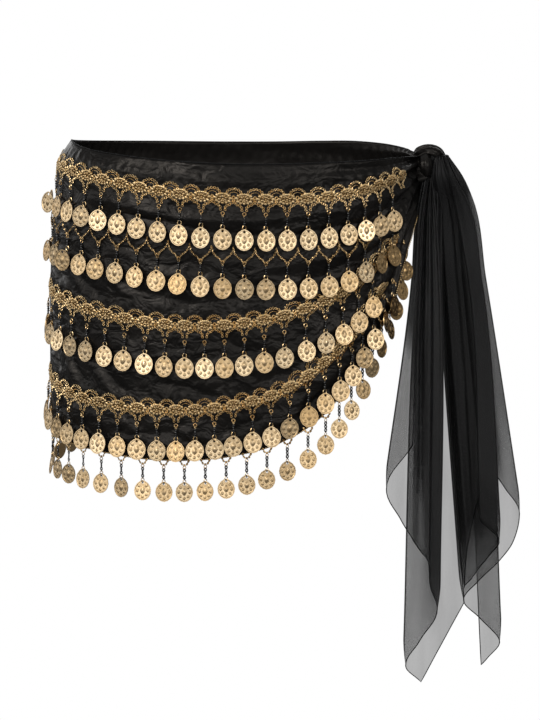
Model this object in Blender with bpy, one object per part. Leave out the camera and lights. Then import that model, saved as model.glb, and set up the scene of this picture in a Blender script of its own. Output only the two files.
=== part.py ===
"""Belly dance hip scarf, worn and tied at one hip, with no wearer.

A chiffon scarf goes once round the hips and is knotted at the wearer's left hip, where its two free
ends hang down. Three lengths of lace trim lie on the cloth, and five rows of coins hang from them and
from the hem. Each stretch of cloth is a wall worked out from the form of the hips and from the heights
of the sewn lines, and what lies on a stretch is made from that stretch's own points, moved out.

Frame: millimetres in the tables, metres in the scene. +Z is up, the front of the hips is -Y, and the
knot is at +X. The origin is the middle of the opening, level with the top edge at the plain hip.
An angle round the hips is 0 at the plain hip and 180 at the knot, positive round the front and
negative round the back.
"""

import math
from typing import NamedTuple

import bmesh
import bpy
from mathutils import Matrix, Vector

MM = 0.001

# ---------------------------------------------------------------- driving dimensions, in millimetres

CLOTH_WALL = 1.2
TRIM_WALL = 1.2
ROW_WALL = 1.5
SEAM_GAP = 0.3
ROW_STANDOFF = 0.9

TRIM_HALF_HEIGHT = 13.5
STEPS_ROUND_HALF = 30
PLAIN_SEAM_ANGLE = 0.06
KNOT_END_ANGLE = 178.6
THROAT_X = 187.0

# Folds that the knot draws in: they fade in from this angle to the knot.
PLEATS_START_ANGLE = 146.0
PLEAT_DEPTH = 1.3
# Broad upright flutes, deepest at the hem.
FLUTE_DEPTH = 1.6
FLUTES_ROUND_HALF = 7.0


class HipSection(NamedTuple):
    """The inside of the cloth at one height."""

    height: float
    plain_half_width: float
    knot_half_width: float
    half_depth: float


HIP_FORM = (
    HipSection(0.0, 159.0, 176.0, 106.0),
    HipSection(-18.0, 170.5, 182.0, 111.0),
    HipSection(-48.0, 174.0, 183.5, 113.0),
    HipSection(-110.0, 179.0, 183.5, 115.0),
    HipSection(-240.0, 180.5, 183.5, 116.0),
    HipSection(-350.0, 178.0, 182.0, 114.0),
)


class SewnHeights(NamedTuple):
    """Heights of the top edge, the middle of each trim and the hem at one angle."""

    angle: float
    top: float
    trim_1: float
    trim_2: float
    trim_3: float
    hem: float


FRONT_HEIGHTS = (
    SewnHeights(0, 0.0, -21.0, -145.0, -230.0, -292.0),
    SewnHeights(15, -1.5, -23.5, -151.5, -241.0, -295.0),
    SewnHeights(30, -4.0, -27.5, -158.0, -249.0, -299.0),
    SewnHeights(45, -6.0, -31.5, -164.0, -254.0, -303.5),
    SewnHeights(60, -8.5, -37.0, -169.0, -256.5, -307.0),
    SewnHeights(75, -10.5, -42.5, -172.5, -257.0, -307.5),
    SewnHeights(90, -12.0, -46.0, -171.0, -252.0, -303.0),
    SewnHeights(105, -12.5, -47.3, -163.5, -239.0, -290.0),
    SewnHeights(120, -12.5, -46.2, -149.5, -212.0, -263.0),
    SewnHeights(132, -12.5, -42.5, -136.0, -190.0, -231.0),
    SewnHeights(142, -12.5, -37.5, -121.0, -163.0, -197.0),
    SewnHeights(150, -12.5, -33.5, -105.0, -140.0, -172.0),
    SewnHeights(158, -13.0, -30.0, -85.0, -107.0, -129.0),
    SewnHeights(165, -14.0, -27.5, -61.0, -77.0, -92.0),
    SewnHeights(172, -15.5, -26.0, -44.0, -55.0, -66.0),
    SewnHeights(180, -17.5, -25.5, -33.0, -39.0, -45.0),
)

BACK_HEIGHTS = (
    SewnHeights(0, 0.0, -21.0, -145.0, -230.0, -292.0),
    SewnHeights(15, -4.0, -24.0, -146.0, -229.0, -287.0),
    SewnHeights(30, -7.5, -27.0, -147.0, -226.0, -280.0),
    SewnHeights(60, -12.5, -33.0, -149.0, -221.0, -270.0),
    SewnHeights(90, -15.0, -36.0, -149.0, -216.0, -262.0),
    SewnHeights(105, -14.5, -37.0, -146.0, -208.0, -251.0),
    SewnHeights(120, -12.5, -37.0, -139.0, -195.0, -235.0),
    SewnHeights(132, -11.0, -35.0, -124.0, -168.0, -205.0),
    SewnHeights(142, -11.0, -32.5, -108.0, -143.0, -173.0),
    SewnHeights(150, -11.5, -31.0, -94.0, -122.0, -149.0),
    SewnHeights(158, -12.5, -29.0, -75.0, -94.0, -113.0),
    SewnHeights(165, -13.5, -27.5, -57.0, -70.0, -83.0),
    SewnHeights(172, -15.5, -26.0, -43.0, -53.0, -63.0),
    SewnHeights(180, -17.5, -25.5, -33.0, -39.0, -45.0),
)


class CoinRow(NamedTuple):
    """The reach of one row of coins, measured down from the line it is sewn along."""

    name: str
    sewn_line: str
    reach_top: float
    reach_bottom: float
    front_end_angle: float
    back_end_angle: float


COIN_ROWS = (
    CoinRow("coins_1", "trim_1", 9.0, 50.5, 158.0, 158.0),
    CoinRow("coins_2", "trim_1", 50.8, 98.8, 158.0, 151.0),
    CoinRow("coins_3", "trim_2", 9.0, 50.5, 154.0, 152.0),
    CoinRow("coins_4", "trim_3", 9.0, 53.0, 154.0, 152.0),
    CoinRow("coins_5", "hem", -4.5, 43.0, 160.0, 160.0),
)

TRIM_FRONT_ENDS = {"trim_1": 164.0, "trim_2": 160.0, "trim_3": 158.0}
TRIM_BACK_ENDS = {"trim_1": 164.0, "trim_2": 158.0, "trim_3": 156.0}

# What each interval between sewn lines has to hold before its bands are squeezed towards the knot.
ROOM_ABOVE_TRIM_1 = 18.0
ROOM_TRIM_1_TO_2 = 110.0
ROOM_TRIM_2_TO_3 = 68.0
ROOM_TRIM_3_TO_HEM = 44.0
# Where the two free lines between trims 1 and 2 lie, as shares of the way down.
FREE_LINE_SHARES = (0.36, 0.72)
# A column nearer than this share of a step to a piece's end is left out.
LEAST_STEP_SHARE = 1 / 3


class FoldLine(NamedTuple):
    """A line down a free end, from the knot to the hem. The cloth doubles back where turns is true."""

    head_x: float
    collar_x: float
    waist_x: float
    hem_x: float
    hem_z: float
    turns: bool


class Tail(NamedTuple):
    """A free end: the heights it is set at, and its front layer and layer gap there and at the hem.

    The heights are its head, its throat beside the knot, its collar under the knot and the waist
    where it begins to flare. At the throat it has gone this share of the way from head to collar.
    """

    name: str
    heights: tuple
    front_y: tuple
    layer_gap: tuple
    throat_share: float
    lines: tuple


TAIL_FRONT = Tail(
    "tail_front",
    (-24.0, -42.0, -66.0, -140.0),
    (-12.0, -13.0, -17.0, -32.0, -63.0),
    (3.2, 3.2, 4.2, 6.0, 7.0),
    0.0,
    (
        FoldLine(205.8, 197.0, 189.0, 180.0, -299.0, False),
        FoldLine(201.6, 189.0, 178.0, 153.5, -344.0, True),
        FoldLine(204.8, 195.0, 185.0, 168.0, -374.0, False),
        FoldLine(206.6, 200.5, 197.0, 196.0, -418.0, False),
        FoldLine(207.4, 204.5, 202.0, 198.0, -443.0, False),
        FoldLine(210.2, 209.5, 208.5, 207.0, -466.0, True),
        FoldLine(206.0, 200.0, 196.0, 188.0, -498.0, False),
        FoldLine(201.8, 190.5, 184.0, 172.5, -524.0, True),
        FoldLine(205.0, 196.0, 190.0, 189.0, -541.0, False),
        FoldLine(207.0, 203.0, 200.0, 210.0, -501.0, False),
        FoldLine(209.8, 210.0, 211.0, 232.0, -461.0, False),
    ),
)

TAIL_BACK = Tail(
    "tail_back",
    (-21.6, -34.0, -60.0, -140.0),
    (-7.5, -5.5, -0.5, -2.0, -17.0),
    (3.2, 3.2, 3.4, 5.0, 6.0),
    0.5,
    (
        FoldLine(217.2, 222.0, 236.0, 248.0, -381.0, False),
        FoldLine(223.2, 235.0, 250.0, 268.0, -404.0, True),
        FoldLine(212.6, 212.5, 207.0, 232.5, -450.0, True),
        FoldLine(217.4, 224.0, 238.0, 258.0, -329.0, False),
        FoldLine(219.8, 230.0, 246.0, 273.0, -350.0, False),
        FoldLine(223.8, 239.5, 254.0, 288.5, -377.0, True),
        FoldLine(220.8, 234.0, 249.0, 282.0, -404.0, False),
        FoldLine(218.4, 226.0, 242.0, 268.0, -425.0, False),
        FoldLine(215.8, 219.0, 225.0, 246.0, -446.0, False),
        FoldLine(212.2, 211.5, 205.0, 232.0, -465.0, True),
        FoldLine(215.8, 218.0, 223.0, 248.0, -483.0, False),
        FoldLine(219.6, 227.5, 242.0, 265.0, -501.0, False),
        FoldLine(223.4, 235.5, 249.0, 269.5, -509.0, True),
        FoldLine(219.6, 226.5, 238.0, 258.0, -524.0, False),
        FoldLine(217.4, 221.0, 229.0, 250.0, -532.0, False),
    ),
)
STEPS_BETWEEN_HEIGHTS = (1, 2, 3, 7)


class TubeStation(NamedTuple):
    """A point on the middle line of a rolled stretch of cloth, and its radius there."""

    x: float
    y: float
    z: float
    radius: float


# The gathered throat of the knot, from the hip outwards through the band.
KNOT_CORE = (
    TubeStation(188.8, -0.5, -30.2, 12.0),
    TubeStation(189.5, -0.5, -28.6, 9.0),
    TubeStation(190.6, -0.5, -27.0, 6.4),
    TubeStation(192.0, -0.5, -26.8, 5.4),
    TubeStation(195.0, -0.5, -26.2, 5.0),
    TubeStation(198.0, -0.5, -26.2, 5.2),
    TubeStation(200.5, -0.5, -26.4, 5.6),
)
KNOT_CORE_DEPTH = 0.8
KNOT_CORE_SIDES = 20

# The band that wraps the throat: a ring that stands across it.
BAND_CENTRE = (195.0, -0.5, -26.2)
BAND_RING_RADIUS = 9.9
BAND_ROLL_RADIUS = 3.9
BAND_WIDTH = 1.28
BAND_DEPTH = 0.82
BAND_SEGMENTS = 28
BAND_ROLL_SEGMENTS = 12

# The loop that goes over the band and becomes the head of the back end.
KNOT_LOOP = (
    TubeStation(184.6, 9.5, -11.0, 2.6),
    TubeStation(188.0, 8.0, -8.8, 3.2),
    TubeStation(194.0, 5.0, -8.6, 3.5),
    TubeStation(200.5, 2.5, -9.2, 4.2),
    TubeStation(207.0, 0.5, -10.4, 5.2),
    TubeStation(213.0, -0.5, -13.6, 5.8),
    TubeStation(217.6, -0.5, -17.4, 6.2),
    TubeStation(217.6, -0.5, -21.2, 6.2),
)
KNOT_LOOP_DEPTH = 1.5
ROLL_RESOLUTION = 4



class Finish(NamedTuple):
    """A plain finish: its colour, roughness and metallic value."""

    colour: tuple
    roughness: float
    metallic: float


CLOTH_FINISH = Finish((0.012, 0.012, 0.013), 0.7, 0.0)
LACE_FINISH = Finish((0.47, 0.29, 0.09), 0.4, 1.0)
COIN_FINISH = Finish((0.80, 0.60, 0.34), 0.3, 1.0)


# ------------------------------------------------------------------------------- curves and the hips


def between(stations: tuple, place: float) -> tuple:
    """Values of a table of named columns at a place in its first column, along straight lines."""
    rising = stations if stations[0][0] < stations[-1][0] else tuple(reversed(stations))
    place = min(max(place, rising[0][0]), rising[-1][0])
    for low, high in zip(rising, rising[1:]):
        if place <= high[0]:
            share = (place - low[0]) / (high[0] - low[0])
            return type(low)(*(a + (b - a) * share for a, b in zip(low, high)))
    return rising[-1]


def smooth_through(places: tuple, values: tuple, place: float) -> float:
    """A cubic that passes through each value, with the slope at each place taken from its neighbours."""
    last = len(places) - 1
    slopes = []
    for i in range(last + 1):
        before, after = max(i - 1, 0), min(i + 1, last)
        slopes.append((values[after] - values[before]) / (places[after] - places[before]))
    i = next((k for k in range(last) if (places[k + 1] - place) * (places[-1] - places[0]) >= 0), last - 1)
    span = places[i + 1] - places[i]
    t = min(max((place - places[i]) / span, 0.0), 1.0)
    start = (1 + 2 * t) * (1 - t) ** 2 * values[i] + t * (1 - t) ** 2 * span * slopes[i]
    end = t * t * (3 - 2 * t) * values[i + 1] + t * t * (t - 1) * span * slopes[i + 1]
    return start + end


def hip_plan(angle: float, height: float) -> tuple:
    """A point on the inside of the cloth, and the level direction out from it."""
    form = between(HIP_FORM, height)
    turn = math.radians(abs(angle))
    side = -1.0 if angle >= 0 else 1.0
    half_width = form.plain_half_width if turn < math.pi / 2 else form.knot_half_width
    x, y = -half_width * math.cos(turn), side * form.half_depth * math.sin(turn)
    out = Vector((x / half_width**2, y / form.half_depth**2, 0.0)).normalized()
    # Near the knot the cloth leaves the hip along the straight line that touches it there.
    leaving = math.acos(min(half_width / THROAT_X, 1.0))
    if turn > math.pi - leaving:
        touch_x = half_width * math.cos(leaving)
        touch_y = side * form.half_depth * math.sin(leaving)
        share = (turn - (math.pi - leaving)) / leaving
        x, y = touch_x + (THROAT_X - touch_x) * share, touch_y * (1.0 - share)
        out = Vector((abs(touch_y), side * (THROAT_X - touch_x), 0.0)).normalized()
    return Vector((x, y, height)), out


class Stretch:
    """One stretch of the scarf cloth: the front or the back."""

    def __init__(self, heights: tuple, side: int):
        """Takes the sewn heights, and 1 for the front or -1 for the back."""
        self.heights = heights
        self.side = side

    def lines(self, angle: float) -> list:
        """Heights of all the cloth's sewn lines at an angle, from the top edge to the hem."""
        sewn = between(self.heights, abs(angle))
        above = min(1.0, (sewn.top - sewn.trim_1) / ROOM_ABOVE_TRIM_1)
        upper = min(1.0, (sewn.trim_1 - sewn.trim_2) / ROOM_TRIM_1_TO_2)
        lower = min(1.0, (sewn.trim_2 - sewn.trim_3) / ROOM_TRIM_2_TO_3)
        last = min(1.0, (sewn.trim_3 - sewn.hem) / ROOM_TRIM_3_TO_HEM)
        half = TRIM_HALF_HEIGHT
        under_trim_1, over_trim_2 = sewn.trim_1 - half * upper, sewn.trim_2 + half * upper
        under_trim_2, over_trim_3 = sewn.trim_2 - half * lower, sewn.trim_3 + half * lower
        return [
            sewn.top,
            sewn.trim_1 + half * above,
            under_trim_1,
            *(under_trim_1 + (over_trim_2 - under_trim_1) * share for share in FREE_LINE_SHARES),
            over_trim_2,
            under_trim_2,
            (under_trim_2 + over_trim_3) / 2,
            over_trim_3,
            sewn.trim_3 - half * last,
            sewn.hem,
        ]

    def folded(self, angle: float, line: int, height: float) -> tuple:
        """The point of a sewn line with its folds, and the direction out."""
        point, out = hip_plan(self.side * angle, height)
        pull = max(0.0, (angle - PLEATS_START_ANGLE) / (180.0 - PLEATS_START_ANGLE))
        pleat = PLEAT_DEPTH * pull * (1 if line % 2 else -1)
        hem_height = between(self.heights, angle).hem
        flute = FLUTE_DEPTH * (height / hem_height) * (1.0 - pull)
        flute *= math.sin(math.radians(angle) * FLUTES_ROUND_HALF) * math.sin(math.radians(angle))
        return point + out * (pleat + flute), out

    def column(self, angle: float) -> list:
        """The stretch's points down one angle, from the top edge to the hem."""
        return [self.folded(angle, line, height) for line, height in enumerate(self.lines(angle))]

    def on_column(self, angle: float, height: float) -> tuple:
        """A point at a height on the straight lines between a column's points."""
        column = self.column(angle)
        low, high = column[-2], column[-1]
        for low, high in zip(column, column[1:]):
            if height >= high[0].z:
                break
        share = (height - low[0].z) / (high[0].z - low[0].z)
        return low[0].lerp(high[0], share), low[1].lerp(high[1], share).normalized()

    def angles(self, end: float) -> list:
        """The columns' angles from the plain hip as far as an end."""
        step = KNOT_END_ANGLE / STEPS_ROUND_HALF
        steps = [PLAIN_SEAM_ANGLE] + [step * i for i in range(1, STEPS_ROUND_HALF + 1)]
        return [a for a in steps if a < end - step * LEAST_STEP_SHARE] + [min(end, KNOT_END_ANGLE)]


# ------------------------------------------------------------------------------------------ building


def clear_scene() -> None:
    """Removes the objects that Blender starts with."""
    for item in list(bpy.data.objects):
        bpy.data.objects.remove(item, do_unlink=True)


def finish_of(name: str, finish: Finish) -> bpy.types.Material:
    """A material for one piece."""
    material = bpy.data.materials.new(name)
    material.use_nodes = True
    shader = material.node_tree.nodes["Principled BSDF"]
    shader.inputs["Base Color"].default_value = (*finish.colour, 1.0)
    shader.inputs["Roughness"].default_value = finish.roughness
    shader.inputs["Metallic"].default_value = finish.metallic
    return material


def add_object(name: str, data, finish: Finish) -> bpy.types.Object:
    """Links a piece to the scene with a material of its own."""
    item = bpy.data.objects.new(name, data)
    data.materials.append(finish_of(f"{name}_finish", finish))
    bpy.context.collection.objects.link(item)
    return item


def add_wall(name: str, rows: list, standoff: float, thickness: float, finish: Finish) -> None:
    """A closed wall: a sheet of (point, direction out) rows, extruded along each point's direction."""
    mesh_tool = bmesh.new()
    outward = mesh_tool.verts.layers.float_vector.new("outward")
    sheet = []
    for row in rows:
        sheet.append([])
        for point, out in row:
            corner = mesh_tool.verts.new((point + out * standoff) * MM)
            corner[outward] = out * thickness * MM
            sheet[-1].append(corner)
    for upper, lower in zip(sheet, sheet[1:]):
        for a, b, c, d in zip(upper, upper[1:], lower[1:], lower):
            mesh_tool.faces.new((a, b, c, d))
    grown = bmesh.ops.extrude_face_region(mesh_tool, geom=mesh_tool.faces[:], use_keep_orig=True)
    for corner in (part for part in grown["geom"] if isinstance(part, bmesh.types.BMVert)):
        corner.co += corner[outward]
    bmesh.ops.recalc_face_normals(mesh_tool, faces=mesh_tool.faces[:])
    mesh = bpy.data.meshes.new(name)
    mesh_tool.to_mesh(mesh)
    mesh_tool.free()
    add_object(name, mesh, finish)


def add_wrap(name: str, stretch: Stretch) -> None:
    """The cloth of one stretch, from its top edge to its hem."""
    columns = [stretch.column(angle) for angle in stretch.angles(KNOT_END_ANGLE)]
    add_wall(name, columns, 0.0, CLOTH_WALL, CLOTH_FINISH)


def add_trims(place: str, stretch: Stretch, ends: dict) -> None:
    """The lace trims of one stretch, each on two of the cloth's own lines."""
    for trim, upper_line in (("trim_1", 1), ("trim_2", 5), ("trim_3", 8)):
        rows = []
        for angle in stretch.angles(ends[trim]):
            column = stretch.column(angle)
            rows.append([column[upper_line], column[upper_line + 1]])
        add_wall(f"{trim}_{place}", rows, CLOTH_WALL + SEAM_GAP, TRIM_WALL, LACE_FINISH)


def add_coin_rows(place: str, stretch: Stretch) -> None:
    """The reach of each row of coins. Rows over the cloth hang clear of the trims and of each other."""
    over_trims = CLOTH_WALL + SEAM_GAP + TRIM_WALL + ROW_STANDOFF
    for number, row in enumerate(COIN_ROWS):
        end = row.front_end_angle if stretch.side > 0 else row.back_end_angle
        columns = []
        for angle in stretch.angles(end):
            sewn = between(stretch.heights, angle)
            top = getattr(sewn, row.sewn_line) - row.reach_top
            bottom = getattr(sewn, row.sewn_line) - row.reach_bottom
            for above in COIN_ROWS[:number] if row.sewn_line != "hem" else ():
                above_bottom = getattr(sewn, above.sewn_line) - above.reach_bottom
                top = min(top, above_bottom - SEAM_GAP)
            columns.append([stretch.on_column(angle, top), stretch.on_column(angle, bottom)])
        standoff = over_trims if row.sewn_line != "hem" else CLOTH_WALL + SEAM_GAP
        add_wall(f"{row.name}_{place}", columns, standoff, ROW_WALL, COIN_FINISH)


def tail_columns(tail: Tail) -> list:
    """The free end's lines in order across the cloth, each as (fold line, layer, share of the turn).

    A turn becomes three lines: one before it, one on the fold's edge and one after it.
    """
    columns, layer = [], 0
    for line in tail.lines:
        if line.turns:
            columns += [(line, layer, 0.0), (line, layer, 0.5), (line, layer, 1.0)]
            layer += 1
        else:
            columns.append((line, layer, 0.0))
    return columns


def tail_line(tail: Tail, line: FoldLine, layer: int, turned: float, inward: float) -> list:
    """Points down one line of a free end, from its head to its hem."""
    places = (*tail.heights, line.hem_z)
    throat_x = line.head_x + (line.collar_x - line.head_x) * tail.throat_share
    across = (line.head_x, throat_x, line.collar_x, line.waist_x, line.hem_x)
    down = [places[0]]
    for upper, lower, steps in zip(places, places[1:], STEPS_BETWEEN_HEIGHTS):
        down += [upper + (lower - upper) * i / steps for i in range(1, steps + 1)]
    points = []
    for z in down:
        gap = smooth_through(places, tail.layer_gap, z)
        x = smooth_through(places, across, z)
        y = smooth_through(places, tail.front_y, z) + layer * gap
        if line.turns:
            x += inward * gap / 2 * (1.0 - math.sin(math.pi * turned))
            y += gap / 2 * (1.0 - math.cos(math.pi * turned))
        points.append(Vector((x, y, z)))
    return points


def add_tail(tail: Tail) -> None:
    """A free end: one wall that doubles back on itself at each turn."""
    lines = []
    for line, layer, turned in tail_columns(tail):
        place = tail.lines.index(line)
        neighbour = tail.lines[place - 1 if place else 1]
        inward = math.copysign(1.0, neighbour.waist_x - line.waist_x)
        lines.append(tail_line(tail, line, layer, turned, inward))
    rows = []
    for i, points in enumerate(lines):
        before, after = lines[max(i - 1, 0)], lines[min(i + 1, len(lines) - 1)]
        row = []
        for point, left, right in zip(points, before, after):
            along = right - left
            out = Vector((along.y, -along.x, 0.0)).normalized()
            row.append((point, out))
        rows.append(row)
    add_wall(tail.name, rows, -CLOTH_WALL / 2, CLOTH_WALL, CLOTH_FINISH)


def add_rolled_cloth(name: str, stations: tuple, depth: float) -> None:
    """A rolled stretch of cloth: a curve with filled ends, deeper or shallower front to back."""
    curve = bpy.data.curves.new(name, "CURVE")
    curve.dimensions = "3D"
    curve.bevel_depth = MM
    curve.bevel_resolution = ROLL_RESOLUTION
    curve.use_fill_caps = True
    spline = curve.splines.new("POLY")
    spline.points.add(len(stations) - 1)
    for point, station in zip(spline.points, stations):
        point.co = (station.x * MM, station.y / depth * MM, station.z * MM, 1.0)
        point.radius = station.radius
    item = add_object(name, curve, CLOTH_FINISH)
    item.scale.y = depth


def add_knot_core() -> None:
    """The throat of the knot: upright rings bridged one to the next, with both ends filled."""
    mesh_tool = bmesh.new()
    rings = []
    for station in KNOT_CORE:
        upright = Matrix.Rotation(math.pi / 2, 4, "Y")
        flattened = Matrix.Diagonal((1.0, KNOT_CORE_DEPTH, 1.0, 1.0))
        place = Matrix.Translation(Vector((station.x, station.y, station.z)) * MM)
        made = bmesh.ops.create_circle(
            mesh_tool,
            segments=KNOT_CORE_SIDES,
            radius=station.radius * MM,
            matrix=place @ flattened @ upright,
        )
        rings.append(list({edge for corner in made["verts"] for edge in corner.link_edges}))
    for ring, following in zip(rings, rings[1:]):
        bmesh.ops.bridge_loops(mesh_tool, edges=ring + following)
    for ring in (rings[0], rings[-1]):
        bmesh.ops.contextual_create(mesh_tool, geom=ring)
    bmesh.ops.recalc_face_normals(mesh_tool, faces=mesh_tool.faces[:])
    mesh = bpy.data.meshes.new("knot_core")
    mesh_tool.to_mesh(mesh)
    mesh_tool.free()
    add_object("knot_core", mesh, CLOTH_FINISH)


def add_knot_band() -> None:
    """The band of the knot: a torus that stands across the throat."""
    bpy.ops.mesh.primitive_torus_add(
        major_segments=BAND_SEGMENTS,
        minor_segments=BAND_ROLL_SEGMENTS,
        major_radius=BAND_RING_RADIUS * MM,
        minor_radius=BAND_ROLL_RADIUS * MM,
    )
    item = bpy.context.object
    item.name = item.data.name = "knot_band"
    shape = Matrix.Rotation(math.pi / 2, 4, "Y") @ Matrix.Diagonal((1.0, BAND_DEPTH, BAND_WIDTH, 1.0))
    item.data.transform(shape)
    item.location = [c * MM for c in BAND_CENTRE]
    item.data.materials.append(finish_of("knot_band_finish", CLOTH_FINISH))


def main() -> None:
    """Builds the scarf."""
    clear_scene()
    front, back = Stretch(FRONT_HEIGHTS, 1), Stretch(BACK_HEIGHTS, -1)
    for place, stretch, ends in (("front", front, TRIM_FRONT_ENDS), ("back", back, TRIM_BACK_ENDS)):
        add_wrap(f"wrap_{place}", stretch)
        add_trims(place, stretch, ends)
        add_coin_rows(place, stretch)
    add_knot_core()
    add_knot_band()
    add_rolled_cloth("knot_loop", KNOT_LOOP, KNOT_LOOP_DEPTH)
    add_tail(TAIL_FRONT)
    add_tail(TAIL_BACK)


main()
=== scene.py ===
"""The looks of a belly dance hip scarf: chiffon cloth, gold lace trims and rows of hanging coins.

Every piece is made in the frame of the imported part: +Z is up, the front of the hips is -Y, and the knot
is at +X, on the wearer's left hip. The origin is the middle of the opening, level with the top edge at
the plain hip. Sizes are in millimetres, and MM turns them into metres. An angle round the hips is 0 at
the plain hip and 180 at the knot, and a course is the length along the cloth from the plain hip.
"""

import logging
import math
import random
from collections.abc import Callable, Sequence
from dataclasses import dataclass, field
from enum import Enum
from typing import NamedTuple

import bpy
import numpy as np
from mathutils import Euler, Matrix, Vector

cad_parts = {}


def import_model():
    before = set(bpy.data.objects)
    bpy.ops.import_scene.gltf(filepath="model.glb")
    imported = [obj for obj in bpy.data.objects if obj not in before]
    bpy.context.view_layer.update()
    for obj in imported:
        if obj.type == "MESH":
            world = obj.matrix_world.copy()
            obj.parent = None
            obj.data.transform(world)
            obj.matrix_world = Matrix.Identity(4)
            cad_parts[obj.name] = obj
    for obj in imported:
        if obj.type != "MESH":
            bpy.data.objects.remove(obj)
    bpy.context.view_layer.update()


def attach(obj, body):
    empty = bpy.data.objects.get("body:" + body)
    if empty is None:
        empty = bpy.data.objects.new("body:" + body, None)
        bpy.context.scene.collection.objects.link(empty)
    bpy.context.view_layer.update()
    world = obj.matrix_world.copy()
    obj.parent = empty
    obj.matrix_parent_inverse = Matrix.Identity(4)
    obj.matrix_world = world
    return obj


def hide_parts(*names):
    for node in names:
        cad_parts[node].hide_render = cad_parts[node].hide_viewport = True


Piece = bpy.types.Object
Material = bpy.types.Material
MM = 0.001
DRAW_SEED = 11
log = logging.getLogger("hip_scarf")

# The cloth round the hips.
CLOTH_WALL = 0.6
THROAT_X = 187.0
PLEATS_START_ANGLE = 122.0
PLEAT_DEPTH = 2.5
PLEATS_DOWN_CLOTH = 5.0
FLUTE_DEPTH = 1.6
FLUTES_ROUND_HALF = 7.0
CREASE_STRENGTH = 1.6
PUCKER_DEPTH = 0.8
PUCKER_PITCH = 10.5
PUCKER_REACH = 4.5
TRIM_TOP = 11.5
CALM_ABOVE = -32.0
CREASED_BELOW = -58.0
CALM_SHARE = 0.8
FRONT_CALM = 0.3
# Where the front's trimmings are sewn further apart.
EASY_SPANS = ((30.0, 68.0), (100.0, 125.0))
EASY_RAMP = 10.0
# Below the first height the lace's feet hang plumb, and they swing under their fan over the second.
LACE_HANGS_BELOW = -4.5
LACE_SWINGS_OVER = 5.0
FAN_PITCH = 21.5


def rows(kind: Callable, *table: tuple) -> tuple:
    """Reads plain rows as records of one kind."""
    return tuple(kind(*row) for row in table)


# Height, half width towards the plain hip and towards the knot, and half depth, inside the cloth.
HIP_FORM = (
    (0.0, 159.0, 176.0, 106.0),
    (-18.0, 170.5, 182.0, 111.0),
    (-48.0, 174.0, 183.5, 113.0),
    (-110.0, 179.0, 183.5, 115.0),
    (-240.0, 180.5, 183.5, 116.0),
    (-350.0, 178.0, 182.0, 114.0),
)


class SewnHeights(NamedTuple):
    """Heights of the top edge, the middle of each trim and the hem at one angle."""

    angle: float
    top: float
    trim_1: float
    trim_2: float
    trim_3: float
    hem: float


FRONT_HEIGHTS = rows(
    SewnHeights,
    (0, 0, -21, -145, -230, -292),
    (15, -1.5, -23.5, -151.5, -241, -295),
    (30, -4, -27.5, -158, -249, -299),
    (45, -6, -31.5, -164, -254, -303.5),
    (60, -8.5, -37, -169, -256.5, -307),
    (75, -10.5, -42.5, -172.5, -257, -307.5),
    (90, -12, -46, -171, -252, -303),
    (105, -12.5, -47.3, -163.5, -239, -290),
    (120, -12.5, -46.2, -149, -210, -262),
    (132, -12.5, -42.5, -133.5, -181, -224),
    (142, -12.5, -37.5, -114.5, -148, -187),
    (150, -12.5, -33.5, -97, -124, -156),
    (158, -13, -30, -76, -95, -115),
    (165, -14, -27.5, -56, -69, -90),
    (172, -15.5, -26, -43, -52, -74),
    (180, -16, -25.5, -33, -39, -57),
)
BACK_HEIGHTS = rows(
    SewnHeights,
    (0, 0, -21, -145, -230, -292),
    (15, -4, -24, -146, -229, -287),
    (30, -7.5, -27, -147, -226, -280),
    (60, -12.5, -33, -149, -221, -270),
    (90, -15, -36, -149, -216, -262),
    (105, -14.5, -37, -146, -208, -251),
    (120, -12.5, -37, -139, -195, -235),
    (132, -11, -35, -124, -168, -205),
    (142, -11, -32.5, -108, -143, -173),
    (150, -11.5, -31, -94, -122, -149),
    (158, -12.5, -29, -75, -94, -113),
    (165, -13.5, -27.5, -57, -70, -83),
    (172, -15.5, -26, -43, -53, -63),
    (180, -17.5, -25.5, -33, -39, -45),
)


class Crease(NamedTuple):
    """A soft trough or ridge, from one angle and height to another. Ridges are above 0 deep.

    Its middle bows sideways from the straight line between its ends.
    """

    angle: float
    height: float
    end_angle: float
    end_height: float
    bow: float
    width: float
    depth: float


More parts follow.
